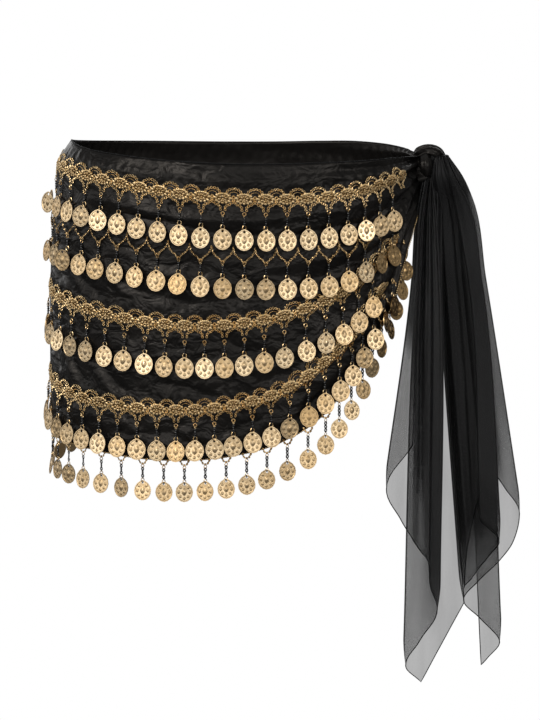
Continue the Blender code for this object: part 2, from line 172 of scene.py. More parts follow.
FRONT_CREASES = rows(
    Crease,
    # Above and along the first trim, level and shallow.
    (40, -17, 70, -24, 2, 3.5, 0.8), (52, -12, 84, -22, -2, 4, -0.9), (76, -27, 118, -31, 3, 3.5, 0.9),
    (92, -20, 140, -24, -2, 4, -0.9), (118, -27, 160, -21, 2, 3, 0.9), (124, -18, 176, -19, 3, 3, -1.1),
    # Behind the first row of drops.
    (33, -50, 66, -64, -4, 4.5, 1.4), (36, -60, 72, -70, 3, 5, -1.6), (48, -69, 78, -82, -4, 4.5, 1.3),
    (66, -62, 104, -66, 4, 5, 1.2), (70, -72, 100, -84, 3, 5, -1.5), (98, -70, 132, -62, -4, 5, 1.2),
    (106, -84, 146, -66, 4, 5.5, -1.5), (128, -56, 166, -40, 3, 5, 1.6), (134, -76, 170, -46, -3, 5, -2),
    (140, -92, 172, -54, 3, 5, 1.8),
    # Between the second row of coins and the second trim, slanting down from the plain hip.
    (9, -96, 22, -136, 3, 5, -1.8), (16, -104, 34, -142, -3, 4.5, 1.6), (26, -112, 46, -150, 4, 5, -1.8),
    (38, -110, 56, -148, -4, 5, 1.5), (50, -128, 80, -152, 6, 6, -1.5), (62, -118, 88, -140, -5, 5, 1.4),
    (84, -146, 116, -132, 5, 6, -1.6), (96, -120, 132, -104, -5, 6, 1.5), (112, -130, 150, -88, 5, 6, -1.9),
    (126, -120, 160, -72, -4, 5, 1.7),
    # Between the third row of coins and the third trim.
    (7, -176, 20, -226, 2, 5, -1.8), (13, -180, 30, -234, -3, 4.5, 1.8), (20, -188, 38, -240, 3, 5, -2),
    (30, -196, 48, -244, -4, 4.5, 1.7), (42, -210, 58, -246, 4, 5, -1.8), (52, -204, 74, -232, -6, 5, 1.5),
    (66, -226, 86, -240, 6, 5, -1.5), (80, -214, 104, -222, -5, 5.5, 1.5), (96, -232, 122, -196, 5, 6, -1.7),
    (106, -206, 134, -166, -4, 5, 1.6), (120, -200, 152, -134, 4, 5, -1.8),
    # Behind the fourth row of drops, short and puckered.
    (20, -254, 32, -284, 3, 4, -1.4), (28, -262, 46, -274, -4, 4, 1.4), (38, -286, 56, -276, 4, 4, -1.3),
    (50, -268, 62, -290, -4, 4, 1.4), (60, -284, 76, -270, 4, 4, -1.4), (72, -276, 88, -288, 4, 4, 1.3),
    (84, -284, 100, -268, -4, 4.5, -1.3), (98, -272, 114, -252, 3, 4.5, 1.2),
    (110, -264, 130, -222, -3, 4.5, -1.5),
)
BACK_CREASES = rows(
    Crease,
    (38, -16, 66, -21, 2, 4.5, 0.3), (60, -20, 100, -25, -2, 5, -0.35), (96, -22, 136, -24, 3, 4.5, 0.3),
    (120, -17, 172, -19, 2, 4, -0.5), (30, -54, 58, -70, 4, 5, -1.5), (46, -50, 82, -58, -4, 4.5, 1.3),
    (70, -72, 104, -64, 4, 5, -1.5), (94, -56, 130, -62, -3, 5, 1.2), (118, -76, 152, -54, 4, 5.5, -1.8),
    (132, -54, 170, -38, -3, 5, 1.6), (8, -100, 24, -138, -3, 5, 1.6), (18, -98, 36, -140, 3, 5, -1.8),
    (34, -114, 60, -140, -5, 5.5, 1.5), (58, -128, 88, -118, 5, 6, -1.6), (80, -132, 112, -122, -5, 5.5, 1.4),
    (104, -118, 138, -92, 4, 6, -1.7), (126, -106, 160, -66, -4, 5, 1.6), (8, -176, 22, -224, 3, 5, 1.7),
    (20, -182, 40, -222, -3, 5, -1.9), (40, -196, 64, -214, 5, 5.5, 1.5), (62, -188, 90, -206, -5, 5.5, -1.6),
    (88, -204, 116, -182, 4, 6, 1.5), (108, -186, 144, -132, 4, 5.5, -1.8), (18, -246, 34, -268, -3, 4, -1.4),
    (36, -262, 56, -246, 4, 4, 1.3), (58, -246, 78, -262, -4, 4.5, -1.4), (80, -256, 104, -238, 4, 4.5, 1.3),
    (102, -246, 126, -208, -3, 4.5, -1.5),
)


class Curve:
    """A smooth line through stations, read at any place between them."""

    def __init__(self, places: Sequence[float], values: Sequence[float]) -> None:
        """Sorts the stations and takes each one's slope from its neighbours.

        Args:
            places: Where the stations are.
            values: What the line is worth there.
        """
        order = np.argsort(places)
        self.places, self.values = (np.asarray(column, float)[order] for column in (places, values))
        self.slopes = np.gradient(self.values, self.places)

    def at(self, place: np.ndarray | float) -> np.ndarray:
        """Reads the line, which is level past its ends.

        Args:
            place: One place or an array of them.

        Returns:
            The values there.
        """
        place = np.clip(place, self.places[0], self.places[-1])
        low = np.clip(np.searchsorted(self.places, place, side="right") - 1, 0, len(self.places) - 2)
        span = self.places[low + 1] - self.places[low]
        t = (place - self.places[low]) / span
        start = (1 + 2 * t) * (1 - t) ** 2 * self.values[low] + t * (1 - t) ** 2 * span * self.slopes[low]
        end = t * t * (3 - 2 * t) * self.values[low + 1] + t * t * (t - 1) * span * self.slopes[low + 1]
        return start + end


def ramp(value: np.ndarray | float, low: float, high: float) -> np.ndarray:
    """A share that goes from 0 at low to 1 at high."""
    return np.clip((value - low) / (high - low), 0.0, 1.0)


def walked(points: np.ndarray, closer: np.ndarray | float = 1.0) -> np.ndarray:
    """Lengths walked from point to point, with each step taken as longer where things are sewn closer."""
    return np.concatenate([[0.0], np.cumsum(np.linalg.norm(np.diff(points, axis=0), axis=1) * closer)])


class Side(Enum):
    """The two stretches of the scarf. Each one's value says which way Y runs."""

    FRONT = 1
    BACK = -1


class Seam(NamedTuple):
    """A line that things are sewn along at a pitch, one of them at through_x across the front.

    They come closer by gathering at the knot, and are further apart by spread on each side of the front.
    """

    line: str
    pitch: float
    through_x: float
    gathering: float = 0.0
    spread: float = 0.0


class Place(NamedTuple):
    """A spot on the cloth, and the direction out from it."""

    point: Vector
    out: Vector


class Stretch:
    """One stretch of the scarf cloth round a general figure's hips, with its creases."""

    FINE_STEPS = 720

    def __init__(self, side: Side, heights: tuple, creases: tuple) -> None:
        """Reads the sewn lines and the form, and measures the course round the hips.

        Args:
            side: The front or the back.
            heights: The sewn heights at each angle.
            creases: The stretch's own creases.
        """
        self.place, self.side, self.creases = side.name.lower(), side.value, creases
        levels, *columns = zip(*HIP_FORM)
        self.plain, self.knot, self.depth = (Curve(levels, column) for column in columns)
        angles, *columns = zip(*heights)
        self.lines = {name: Curve(angles, column) for name, column in zip(SewnHeights._fields[1:], columns)}
        self.fine_angles = np.linspace(0.0, 180.0, self.FINE_STEPS)
        middle = self.lines["trim_2"].at(self.fine_angles)
        self.courses = walked(self.wall(self.fine_angles, middle)[0][:, :2])

    def wall(self, angle: np.ndarray, height: np.ndarray) -> tuple[np.ndarray, np.ndarray]:
        """Points on the inside of the cloth, which leaves the hips straight for the knot's throat.

        Args:
            angle: Angles from the plain hip, in degrees.
            height: Heights, in millimetres.

        Returns:
            The points, and the level directions out from them.
        """
        turn = np.radians(angle)
        half_width = np.where(turn < math.pi / 2, self.plain.at(height), self.knot.at(height))
        depth = self.depth.at(height)
        x, y = -half_width * np.cos(turn), -self.side * depth * np.sin(turn)
        out_x, out_y = x / half_width**2, y / depth**2
        leaving = np.arccos(np.minimum(half_width / THROAT_X, 1.0))
        gone = turn > math.pi - leaving
        touch_x, touch_y = half_width * np.cos(leaving), -self.side * depth * np.sin(leaving)
        share = (turn - (math.pi - leaving)) / np.maximum(leaving, 1e-9)
        x = np.where(gone, touch_x + (THROAT_X - touch_x) * share, x)
        y = np.where(gone, touch_y * (1.0 - share), y)
        out_x = np.where(gone, np.abs(touch_y), out_x)
        out_y = np.where(gone, -self.side * (THROAT_X - touch_x), out_y)
        length = np.hypot(out_x, out_y)
        out = np.stack([out_x / length, out_y / length, np.zeros_like(length)], axis=-1)
        return np.stack([x, y, np.broadcast_to(height, x.shape)], axis=-1), out

    def course(self, angle: np.ndarray) -> np.ndarray:
        """Lengths along the cloth from the plain hip to some angles."""
        return np.interp(angle, self.fine_angles, self.courses)

    def lift(self, angle: np.ndarray, height: np.ndarray) -> np.ndarray:
        """How far flutes, the knot's pleats, crumples, creases and the trims' puckers lift the cloth.

        Args:
            angle: Angles from the plain hip.
            height: Heights of the same points.

        Returns:
            The distances out from the hips' form.
        """
        top, hem = self.lines["top"].at(angle), self.lines["hem"].at(angle)
        pull, turn, course = self.pull(angle), np.radians(angle), self.course(angle)
        flute = FLUTE_DEPTH * (height / hem) * (1.0 - pull) * np.sin(turn * FLUTES_ROUND_HALF) * np.sin(turn)
        down = ramp(-height, -top, -hem)
        pleat = PLEAT_DEPTH * pull * np.cos(2 * math.pi * PLEATS_DOWN_CLOTH * down**0.85 + 0.6)
        calming = CALM_SHARE * (FRONT_CALM if self.side > 0 else 1.0)
        calm = 1.0 - calming * ramp(height, CREASED_BELOW, CALM_ABOVE)
        # Small soft dents, in waves that wander across each other.
        wander = 2.1 * np.sin(height / 17.0 + course / 41.0) + 1.3 * np.sin(course / 29.0 - height / 53.0)
        level = np.sin(height / 5.2 + wander) * np.sin(course / 15.0 - 0.8 * wander + height / 37.0)
        slanting = np.sin((course + 1.4 * height) / 8.5 - wander) * np.sin(height / 21.0 + course / 33.0)
        lift = flute + pleat + (0.42 * level + 0.38 * slanting) * np.sin(turn) ** 0.5 * calm
        for crease in self.creases:
            start = np.array([self.course(crease.angle), crease.height])
            line = np.array([self.course(crease.end_angle), crease.end_height]) - start
            length = np.hypot(*line)
            away = np.stack([course - start[0], height - start[1]], axis=-1)
            share = np.clip(away @ line / length**2, 0.0, 1.0)
            middle = 4.0 * share * (1.0 - share)
            across = (away[..., 0] * line[1] - away[..., 1] * line[0]) / length - crease.bow * middle
            beyond = away - share[..., None] * line
            beyond = np.maximum(np.hypot(beyond[..., 0], beyond[..., 1]) - np.abs(across), 0.0)
            near = np.exp(-((across**2 + beyond**2) / crease.width**2))
            lift = lift + CREASE_STRENGTH * crease.depth * np.clip(middle * 1.6, 0.0, 1.0) ** 0.7 * near
        wave = np.sin(2 * math.pi * course / PUCKER_PITCH + 1.9 * np.sin(course / 23.0))
        for name in ("trim_1", "trim_2", "trim_3"):
            above = height - self.lines[name].at(angle) - TRIM_TOP
            lift = lift + PUCKER_DEPTH * wave * np.exp(-((above / PUCKER_REACH) ** 2)) * np.sin(turn) ** 0.3
        return lift

    def surface(
        self, angle: np.ndarray, height: np.ndarray, standoff: float
    ) -> tuple[np.ndarray, np.ndarray]:
        """Points on or over the cloth.

        Args:
            angle: Angles from the plain hip.
            height: Heights of the same points.
            standoff: How far outside the cloth's inner face they are.

        Returns:
            The points, and the directions out.
        """
        points, out = self.wall(angle, height)
        return points + out * (self.lift(np.clip(angle, 0.0, 180.0), height) + standoff)[..., None], out

    @staticmethod
    def pull(angle: np.ndarray | float) -> np.ndarray:
        """How far the knot gathers the cloth at some angles, from 0 to 1."""
        return ramp(angle, PLEATS_START_ANGLE, 180.0)

    def drape(self, spots: np.ndarray, line: str, angle: float, standoff: float) -> np.ndarray:
        """Lays what was modelled flat onto the cloth, so that it follows every crease.

        Args:
            spots: Points in millimetres, with x along the sewn line, -y out and z up from it.
            line: The sewn line's name.
            angle: The angle of the middle, from the plain hip.
            standoff: How far outside the cloth's inner face y = 0 lies.

        Returns:
            The points on the cloth.
        """
        near = np.array([angle - 1.0, angle + 1.0])
        heights = self.lines[line].at(near)
        ends = self.wall(near, heights)[0]
        run, rise = np.linalg.norm(ends[1, :2] - ends[0, :2]), self.side * (heights[1] - heights[0])
        slope = math.hypot(run, rise)
        shrink = float(np.diff(self.course(near))[0]) / run
        hang = np.clip(LACE_HANGS_BELOW - spots[:, 2], 0.0, None)
        body, swung = spots[:, 2] + hang, np.clip(hang / LACE_SWINGS_OVER, 0.0, 1.0)
        across = (spots[:, 0] * run - body * rise * (1.0 - swung)) / slope
        up = (spots[:, 0] * rise + body * run) / slope - hang
        course = self.course(angle) + self.side * across * shrink
        before_seam = course * self.fine_angles[4] / self.courses[4]
        angles = np.where(course < 0.0, before_seam, np.interp(course, self.courses, self.fine_angles))
        points, out = self.surface(angles, self.lines[line].at(angle) + up, standoff)
        return points - out * spots[:, 1][:, None]

    def closeness(self, angle: np.ndarray | float, seam: Seam) -> np.ndarray:
        """How much closer than their pitch things are sewn.

        Args:
            angle: Angles from the plain hip.
            seam: How they are sewn.

        Returns:
            The shares, where 1 is the plain pitch.
        """
        easy = 0.0
        for low, high in EASY_SPANS:
            easy = easy + ramp(angle, low, low + EASY_RAMP) * ramp(-angle, -high, EASY_RAMP - high)
        return 1.0 + seam.gathering * self.pull(angle) - seam.spread * easy * (self.side > 0)

    def stations(self, seam: Seam) -> list[float]:
        """Angles of what is sewn along a line.

        Args:
            seam: How it is sewn.

        Returns:
            The angles, from the plain hip to the knot.
        """
        points = self.wall(self.fine_angles, self.lines[seam.line].at(self.fine_angles))[0]
        lengths = walked(points, self.closeness(self.fine_angles[1:], seam))
        through = np.interp(seam.through_x, points[:, 0], lengths) % seam.pitch
        first = through if self.side > 0 else seam.pitch - through
        spots = np.arange(first, lengths[-1], seam.pitch)
        return [float(angle) for angle in np.interp(spots, lengths, self.fine_angles)]

    def spot(self, line: str, angle: float, drop: float, standoff: float) -> Place:
        """A spot under a sewn line.

        Args:
            line: The sewn line's name.
            angle: The angle from the plain hip.
            drop: How far below the line.
            standoff: How far outside the cloth's inner face.

        Returns:
            The spot, with its direction out.
        """
        angles = np.clip(np.array([angle]), 0.05, 179.9)
        points, out = self.surface(angles, self.lines[line].at(angles) - drop, standoff)
        return Place(Vector(points[0]), Vector(out[0]))


# Shader maths.


def node_maths(operation: str, reflected: bool = False) -> Callable:
    """An operator that adds a Math node.

    Args:
        operation: The node's operation.
        reflected: Whether the signal comes second.

    Returns:
        The operator.
    """

    def operator(self: "Signal", other: "Signal | float") -> "Signal":
        """Adds the node."""
        return self.recipe.math(operation, *((other, self) if reflected else (self, other)))

    return operator


class Signal:
    """A shader socket that Python's own operators work on."""

    __add__ = __radd__ = node_maths("ADD")
    __mul__ = __rmul__ = node_maths("MULTIPLY")
    __sub__ = node_maths("SUBTRACT")
    __rsub__ = node_maths("SUBTRACT", reflected=True)
    __pow__ = node_maths("POWER")

    def __init__(self, recipe: "Recipe", socket: bpy.types.NodeSocket) -> None:
        """Keeps the socket and the recipe that it is part of."""
        self.recipe, self.socket = recipe, socket

    def part(self, name: str) -> "Signal":
        """Another output of the same node."""
        return Signal(self.recipe, self.socket.node.outputs[name])

    def rising(self, low: float, high: float) -> "Signal":
        """A smooth step from 0 at low to 1 at high."""
        inputs = {"Value": self, "From Min": low, "From Max": high}
        return self.recipe.add("MapRange", {"interpolation_type": "SMOOTHSTEP"}, inputs)


class Recipe:
    """A material or a world being mixed: it adds nodes and links them."""

    def __init__(self, block: bpy.types.ID) -> None:
        """Starts with an empty node tree.

        Args:
            block: The new material or world.
        """
        self.block = block
        block.use_nodes = True
        self.tree = block.node_tree
        self.tree.nodes.clear()

    def add(
        self, kind: str, settings: dict | None = None, inputs: dict | None = None, output: int | str = 0
    ) -> Signal:
        """Adds one node.

        Args:
            kind: The shader node's type.
            settings: Its own settings, which are set first.
            inputs: The values or signals of its sockets. A colour has three numbers.
            output: Which output to give back.

        Returns:
            The output as a signal.
        """
        node = self.tree.nodes.new(f"ShaderNode{kind}")
        for name, value in (settings or {}).items():
            setattr(node, name, value)
        for key, value in (inputs or {}).items():
            socket = node.inputs[key]
            if isinstance(value, Signal):
                self.tree.links.new(value.socket, socket)
            else:
                socket.default_value = (*value, 1.0) if socket.type == "RGBA" else value
        return Signal(self, node.outputs[output])

    def finish(self, kind: str, shader: Signal) -> bpy.types.ID:
        """Links a shader to the output of one kind and gives back the finished block."""
        self.tree.links.new(shader.socket, self.tree.nodes.new(f"ShaderNodeOutput{kind}").inputs["Surface"])
        return self.block

    def math(self, operation: str, *values: "Signal | float") -> Signal:
        """Adds a Math node on numbers or signals."""
        return self.add("Math", {"operation": operation}, dict(enumerate(values)))

    def mix(self, factor: "Signal | float", low: "Signal | tuple", high: "Signal | tuple") -> Signal:
        """Mixes two colours, from the first at 0 to the second at 1."""
        return self.add("Mix", {"data_type": "RGBA"}, {0: factor, 6: low, 7: high}, output=2)

    def noise(
        self, where: Signal, scale: float, detail: float = 2.0, roughness: float = 0.5, bend: float = 0.0
    ) -> Signal:
        """Soft noise from 0 to 1, with its scale in features a metre."""
        inputs = {"Vector": where, "Scale": scale, "Detail": detail, "Roughness": roughness}
        return self.add("TexNoise", None, {**inputs, "Distortion": bend}, output="Fac")

    def places(self) -> Signal:
        """The piece's own coordinates, in metres."""
        return self.add("TexCoord", output="Object")

    def upright(self, where: Signal, stretch: float) -> Signal:
        """Coordinates with their height multiplied."""
        return self.add("Mapping", None, {"Vector": where, "Scale": (1.0, 1.0, stretch)})

    def kept(self, name: str) -> Signal:
        """An attribute that the mesh keeps at its points."""
        return self.add("Attribute", {"attribute_name": name}, output="Fac")

    def bump(self, height: Signal, distance: float, strength: float, over: Signal | None = None) -> Signal:
        """A bump.

        Args:
            height: The height, from 0 to 1.
            distance: How deep 1 is, in metres.
            strength: How strongly it shows.
            over: A bump that this one lies on.

        Returns:
            The bent normal.
        """
        lower = {} if over is None else {"Normal": over}
        return self.add("Bump", None, {"Height": height, "Distance": distance, "Strength": strength, **lower})

    def surface(self, **inputs: "Signal | float | tuple") -> Material:
        """Finishes the material with a Principled shader, with underscores for its sockets' spaces."""
        named = {name.replace("_", " "): value for name, value in inputs.items()}
        return self.finish("Material", self.add("BsdfPrincipled", None, named))


# Finishes.


@dataclass(frozen=True)
class ChiffonFinish:
    """Black chiffon, doubled so that it is opaque, with a soft crushed sheen."""

    name: str = "worn_chiffon"
    dark: tuple = (0.0022, 0.0021, 0.0021)
    light: tuple = (0.0062, 0.0056, 0.0052)
    gloss_tint: tuple = (1.0, 0.93, 0.86)
    gloss: float = 0.24
    roughness: float = 0.22
    crush_depth: float = 3.4 * MM
    fine_depth: float = 0.7 * MM

    def mix(self, recipe: Recipe, where: Signal) -> Material:
        """Mixes two sizes of crush and a fine weave, calm along the top and plainer inside the back, with
        painted shade along the front's top and painted light inside the back.

        Args:
            recipe: The new material.
            where: The piece's coordinates.

        Returns:
            The finished material.
        """
        crush = recipe.noise(recipe.upright(where, 1.5), 52.0, 2.0, 0.5, 0.8)
        fine = recipe.noise(recipe.upright(where, 1.2), 130.0, 2.0, 0.5, 0.4)
        weave = recipe.noise(where, 1400.0, 1.0)
        spot = recipe.add("SeparateXYZ", None, {0: where})
        behind = spot.part("Y").rising(-20 * MM, 20 * MM)
        high = spot.part("Z").rising(CREASED_BELOW * MM, CALM_ABOVE * MM)
        calm = high * (FRONT_CALM + (1.0 - FRONT_CALM) * behind)
        creasing = 1.0 - CALM_SHARE * calm
        folded = recipe.bump(crush * creasing, self.crush_depth, 0.9)
        creased = recipe.bump(fine * creasing, self.fine_depth, 0.8, folded)
        patches = recipe.noise(where, 24.0)
        # Painted light and shade: the base colour is lighter inside the top of the back and a little darker
        # along the top of the front, over a mottled tone.
        lit = patches.rising(0.4, 0.72) * (1.0 - 0.3 * calm) + calm * behind
        return recipe.surface(
            Base_Color=recipe.mix(lit, self.dark, self.light),
            Roughness=self.roughness + 0.25 * (1.0 - patches) + 0.05 * calm,
            Specular_IOR_Level=self.gloss,
            Specular_Tint=self.gloss_tint,
            Normal=recipe.bump(weave, 0.04 * MM, 0.5, creased),
        )


@dataclass(frozen=True)
class SheerFinish:
    """Black chiffon that lets light through. Each point's cover says how many layers are gathered there."""

    name: str = "sheer_chiffon"
    colour: tuple = (0.0045, 0.0045, 0.0048)
    grain: float = 0.05
    roughness: float = 0.5
    gloss: float = 0.3
    sheen: float = 0.02
    fold_depth: float = 1.6 * MM

    def mix(self, recipe: Recipe, where: Signal) -> Material:
        """Mixes a cover that the weave and long soft folds make uneven.

        Args:
            recipe: The new material.
            where: The piece's coordinates.

        Returns:
            The finished material.
        """
        weave = recipe.noise(where, 900.0, 2.0, 0.6)
        cloud = recipe.noise(recipe.upright(where, 0.14), 75.0)
        folds = recipe.noise(recipe.upright(where, 0.06), 110.0, 3.0)
        return recipe.surface(
            Base_Color=self.colour,
            Roughness=self.roughness,
            Specular_IOR_Level=self.gloss,
            Alpha=recipe.kept("cover") + self.grain * (weave - 0.5) + 2.2 * self.grain * (cloud - 0.5),
            Sheen_Weight=self.sheen,
            Normal=recipe.bump(folds, self.fold_depth, 0.8),
        )


@dataclass(frozen=True)
class SpeckledFinish:
    """A dark finish with fine specks: a rolled hem with its whipped stitches, or jet with uneven firing."""

    name: str
    colour: tuple
    scale: float
    roughness: float
    gloss: float
    depth: float
    strength: float
    speck: tuple = ()
    unevenness: float = 0.0

    def mix(self, recipe: Recipe, where: Signal) -> Material:
        """Mixes specks that change its height, and its colour or its roughness.

        Args:
            recipe: The new material.
            where: The piece's coordinates.

        Returns:
            The finished material.
        """
        specks = recipe.noise(where, self.scale, 1.0)
        return recipe.surface(
            Base_Color=recipe.mix(specks, self.colour, self.speck) if self.speck else self.colour,
            Roughness=self.roughness + self.unevenness * specks if self.unevenness else self.roughness,
            Specular_IOR_Level=self.gloss,
            Normal=recipe.bump(specks, self.depth, self.strength),
        )


@dataclass(frozen=True)
class GoldFinish:
    """Gold-coloured metal: plated coins, rings, or the metal thread of lace."""

    name: str
    bright: tuple
    dull: tuple
    roughness: float
    grain_scale: float
    grain_depth: float
    toned: bool = False
    shade_colour: tuple = ()

    def mix(self, recipe: Recipe, where: Signal) -> Material:
        """Mixes a grain that dulls the plating unevenly, each coin's tone, and painted shade in the hollows,
        on the bosses and on loose coins.

        Args:
            recipe: The new material.
            where: The piece's coordinates.

        Returns:
            The finished material.
        """
        grain = recipe.noise(where, self.grain_scale, 2.0, 0.6)
        wear_and_shade = recipe.noise(where, self.grain_scale / 5).rising(0.4, 0.72)
        roughness = self.roughness + 0.12 * (grain - 0.5)
        if self.toned:
            tone = recipe.kept("tone")
            wear_and_shade = wear_and_shade * 0.35 + tone
            roughness = roughness + 0.14 * tone - 0.3 * tone.rising(1.0, 1.6)
        colour = recipe.mix(wear_and_shade, self.bright, self.dull)
        if self.toned:
            # A tone above 1, which only loose coins near the knot have, mixes in the painted shade colour.
            colour = recipe.mix(tone.rising(1.0, 2.0), colour, self.shade_colour)
        if self.shade_colour:
            # Painted shade kept in the mesh, which darkens hollows, bosses and edges.
            tarnish = recipe.kept("tarnish")
            if self.toned:
                tarnish = tarnish * (1.0 - 0.65 * tone.rising(0.05, 0.95))
            colour = recipe.mix(tarnish, colour, self.shade_colour)
            roughness = roughness + 0.2 * tarnish
        bent = recipe.bump(grain, self.grain_depth, 0.8)
        return recipe.surface(Base_Color=colour, Roughness=roughness, Metallic=1.0, Normal=bent)


class Finishes(Enum):
    """Every finish on the scarf. Each is mixed once."""

    CHIFFON = ChiffonFinish()
    SHEER = SheerFinish()
    HEM = SpeckledFinish(
        "rolled_hem", (0.003, 0.003, 0.0032), 700.0, 0.6, 0.12, 0.15 * MM, 0.8, speck=(0.006, 0.006, 0.0064)
    )
    JET = SpeckledFinish("jet", (0.003, 0.003, 0.0034), 500.0, 0.1, 1.0, 0.05 * MM, 0.5, unevenness=0.14)
    COIN = GoldFinish(
        "coin_gold", (0.94, 0.735, 0.465), (0.62, 0.42, 0.205), 0.24, 900.0, 0.04 * MM,
        toned=True, shade_colour=(0.25, 0.155, 0.065),
    )
    RING = GoldFinish("ring_gold", (0.86, 0.63, 0.34), (0.52, 0.34, 0.15), 0.26, 700.0, 0.03 * MM)
    CHAIN = GoldFinish("chain_gold", (0.66, 0.46, 0.23), (0.30, 0.19, 0.08), 0.26, 700.0, 0.03 * MM)
    LACE = GoldFinish(
        "lace_gold", (0.95, 0.705, 0.385), (0.66, 0.44, 0.19), 0.27, 1500.0, 0.12 * MM,
        shade_colour=(0.14, 0.083, 0.033),
    )

    def material(self) -> Material:
        """The mixed material.

        Returns:
            The material, which is mixed when it is first needed.
        """
        made = bpy.data.materials.get(self.value.name)
        if made is None:
            recipe = Recipe(bpy.data.materials.new(self.value.name))
            made = self.value.mix(recipe, recipe.places())
        return made


# Blender's own tools, used as they are used by hand.


def take(*items: Piece) -> None:
    """Leaves edit mode, and selects only some pieces.

    Args:
        items: The pieces. The first one is made active.
    """
    if bpy.context.mode != "OBJECT":
        bpy.ops.object.mode_set(mode="OBJECT")
    bpy.ops.object.select_all(action="DESELECT")
    for item in items:
        item.select_set(True)
    if items:
        bpy.context.view_layer.objects.active = items[0]


def start(
    add: Callable, finish: Finishes, spot: tuple = (0, 0, 0), standing: bool = False, **sizes: object
) -> Piece:
    """Adds a primitive, puts its place in its mesh and dresses it.

    Args:
        add: The operator that adds it.
        finish: Its finish.
        spot: Where it goes.
        standing: Whether its top faces -Y, as the face of a coin or of lace does.
        sizes: The operator's own settings. Numbers with a point are lengths.

    Returns:
        The new piece.
    """
    take()
    lengths = {name: size * MM if isinstance(size, float) else size for name, size in sizes.items()}
    turn = math.pi / 2 if standing else 0.0
    add(location=[length * MM for length in spot], rotation=(turn, 0.0, 0.0), **lengths)
    item = bpy.context.object
    bpy.ops.object.transform_apply(location=True, rotation=True, scale=True)
    item.data.materials.append(finish.material())
    return item


def ring(finish: Finishes, steps: int, radius: float, wire: float, spot: tuple = (0, 0, 0)) -> Piece:
    """A ring of wire that faces -Y."""
    sizes = {"major_segments": steps, "minor_segments": 4, "major_radius": radius, "minor_radius": wire}
    return start(bpy.ops.mesh.primitive_torus_add, finish, spot, True, **sizes)


def shape(item: Piece, picked: Callable | None, *steps: Callable, kind: str = "VERT") -> None:
    """Works on chosen faces or corners in edit mode.

    Args:
        item: The piece.
        picked: A test of a face or a corner, or None for all of them.
        steps: Operators to run on what is picked.
        kind: FACE or VERT.
    """
    take(item)
    bpy.ops.object.mode_set(mode="EDIT")
    bpy.ops.mesh.select_mode(type=kind)
    bpy.ops.mesh.select_all(action="DESELECT")
    bpy.ops.object.mode_set(mode="OBJECT")
    for part in item.data.polygons if kind == "FACE" else item.data.vertices:
        part.select = picked is None or picked(part)
    bpy.ops.object.mode_set(mode="EDIT")
    for step in steps:
        step()
    bpy.ops.object.mode_set(mode="OBJECT")


def press(across: float, up: float) -> None:
    """Scales what is picked about the origin, in the face that pieces are modelled in."""
    bpy.ops.transform.resize(value=(across, 1.0, up), center_override=(0.0, 0.0, 0.0))


def stretched(item: Piece, across: float, up: float, deep: float = 1.0) -> Piece:
    """Scales a whole piece in its mesh."""
    item.data.transform(Matrix.Diagonal((across, deep, up, 1.0)))
    return item


def merge() -> None:
    """Merges corners that lie on each other."""
    bpy.ops.mesh.remove_doubles(threshold=0.01 * MM)


def face_out() -> None:
    """Turns what is picked to face out."""
    bpy.ops.mesh.normals_make_consistent(inside=False)


def modify(item: Piece, kind: str, **settings: object) -> None:
    """Adds a modifier and applies it.

    Args:
        item: The piece.
        kind: The modifier's type.
        settings: Its settings.
    """
    take(item)
    modifier = item.modifiers.new(kind, kind)
    for name, value in settings.items():
        setattr(modifier, name, value)
    bpy.ops.object.modifier_apply(modifier=modifier.name)


def copied(item: Piece, matrix: Matrix | None = None) -> Piece:
    """Copies a piece.

    Args:
        item: The master.
        matrix: Where the copy goes.

    Returns:
        The copy, with its own mesh and its place in it.
    """
    twin = item.copy()
    twin.data = item.data.copy()
    twin.data.transform(matrix or Matrix.Identity(4))
    bpy.context.scene.collection.objects.link(twin)
    return twin


def join(name: str, items: Sequence[Piece], smooth_under: float = 180.0) -> Piece:
    """Joins pieces into one and shades it.

    Args:
        name: The joined piece's name.
        items: What is joined.
        smooth_under: Edges flatter than this many degrees are smooth.

    Returns:
        The joined piece.
    """
    take(*items)
    if len(items) > 1:
        bpy.ops.object.join()
    joined = bpy.context.object
    joined.name = joined.data.name = name
    bpy.ops.object.shade_smooth_by_angle(angle=math.radians(smooth_under))
    return joined


def discard(*items: Piece) -> None:
    """Removes cutters, and masters once their copies are made."""
    for item in items:
        bpy.data.objects.remove(item, do_unlink=True)


def paint(item: Piece, name: str, values: Sequence[float], domain: str = "POINT") -> None:
    """Keeps a value at each point of a mesh, for its material to read."""
    item.data.attributes.new(name, "FLOAT", domain).data.foreach_set("value", values)


def sheet(name: str, grid: np.ndarray, finish: Finishes) -> Piece:
    """A sheet of quads from a grid of points.

    Args:
        name: The sheet's name.
        grid: Points, as an array of rows, columns and 3.
        finish: Its finish.

    Returns:
        The sheet, whose faces point out where columns run to the right and rows run down.
    """
    index = np.arange(grid.shape[0] * grid.shape[1]).reshape(grid.shape[:2])
    corners = (index[:-1, :-1], index[1:, :-1], index[1:, 1:], index[:-1, 1:])
    mesh = bpy.data.meshes.new(name)
    quads = np.stack([corner.ravel() for corner in corners], axis=-1)
    mesh.from_pydata((grid.reshape(-1, 3) * MM).tolist(), [], quads.tolist())
    mesh.materials.append(finish.material())
    item = bpy.data.objects.new(name, mesh)
    bpy.context.scene.collection.objects.link(item)
    take(item)
    bpy.ops.object.shade_smooth()
    return item


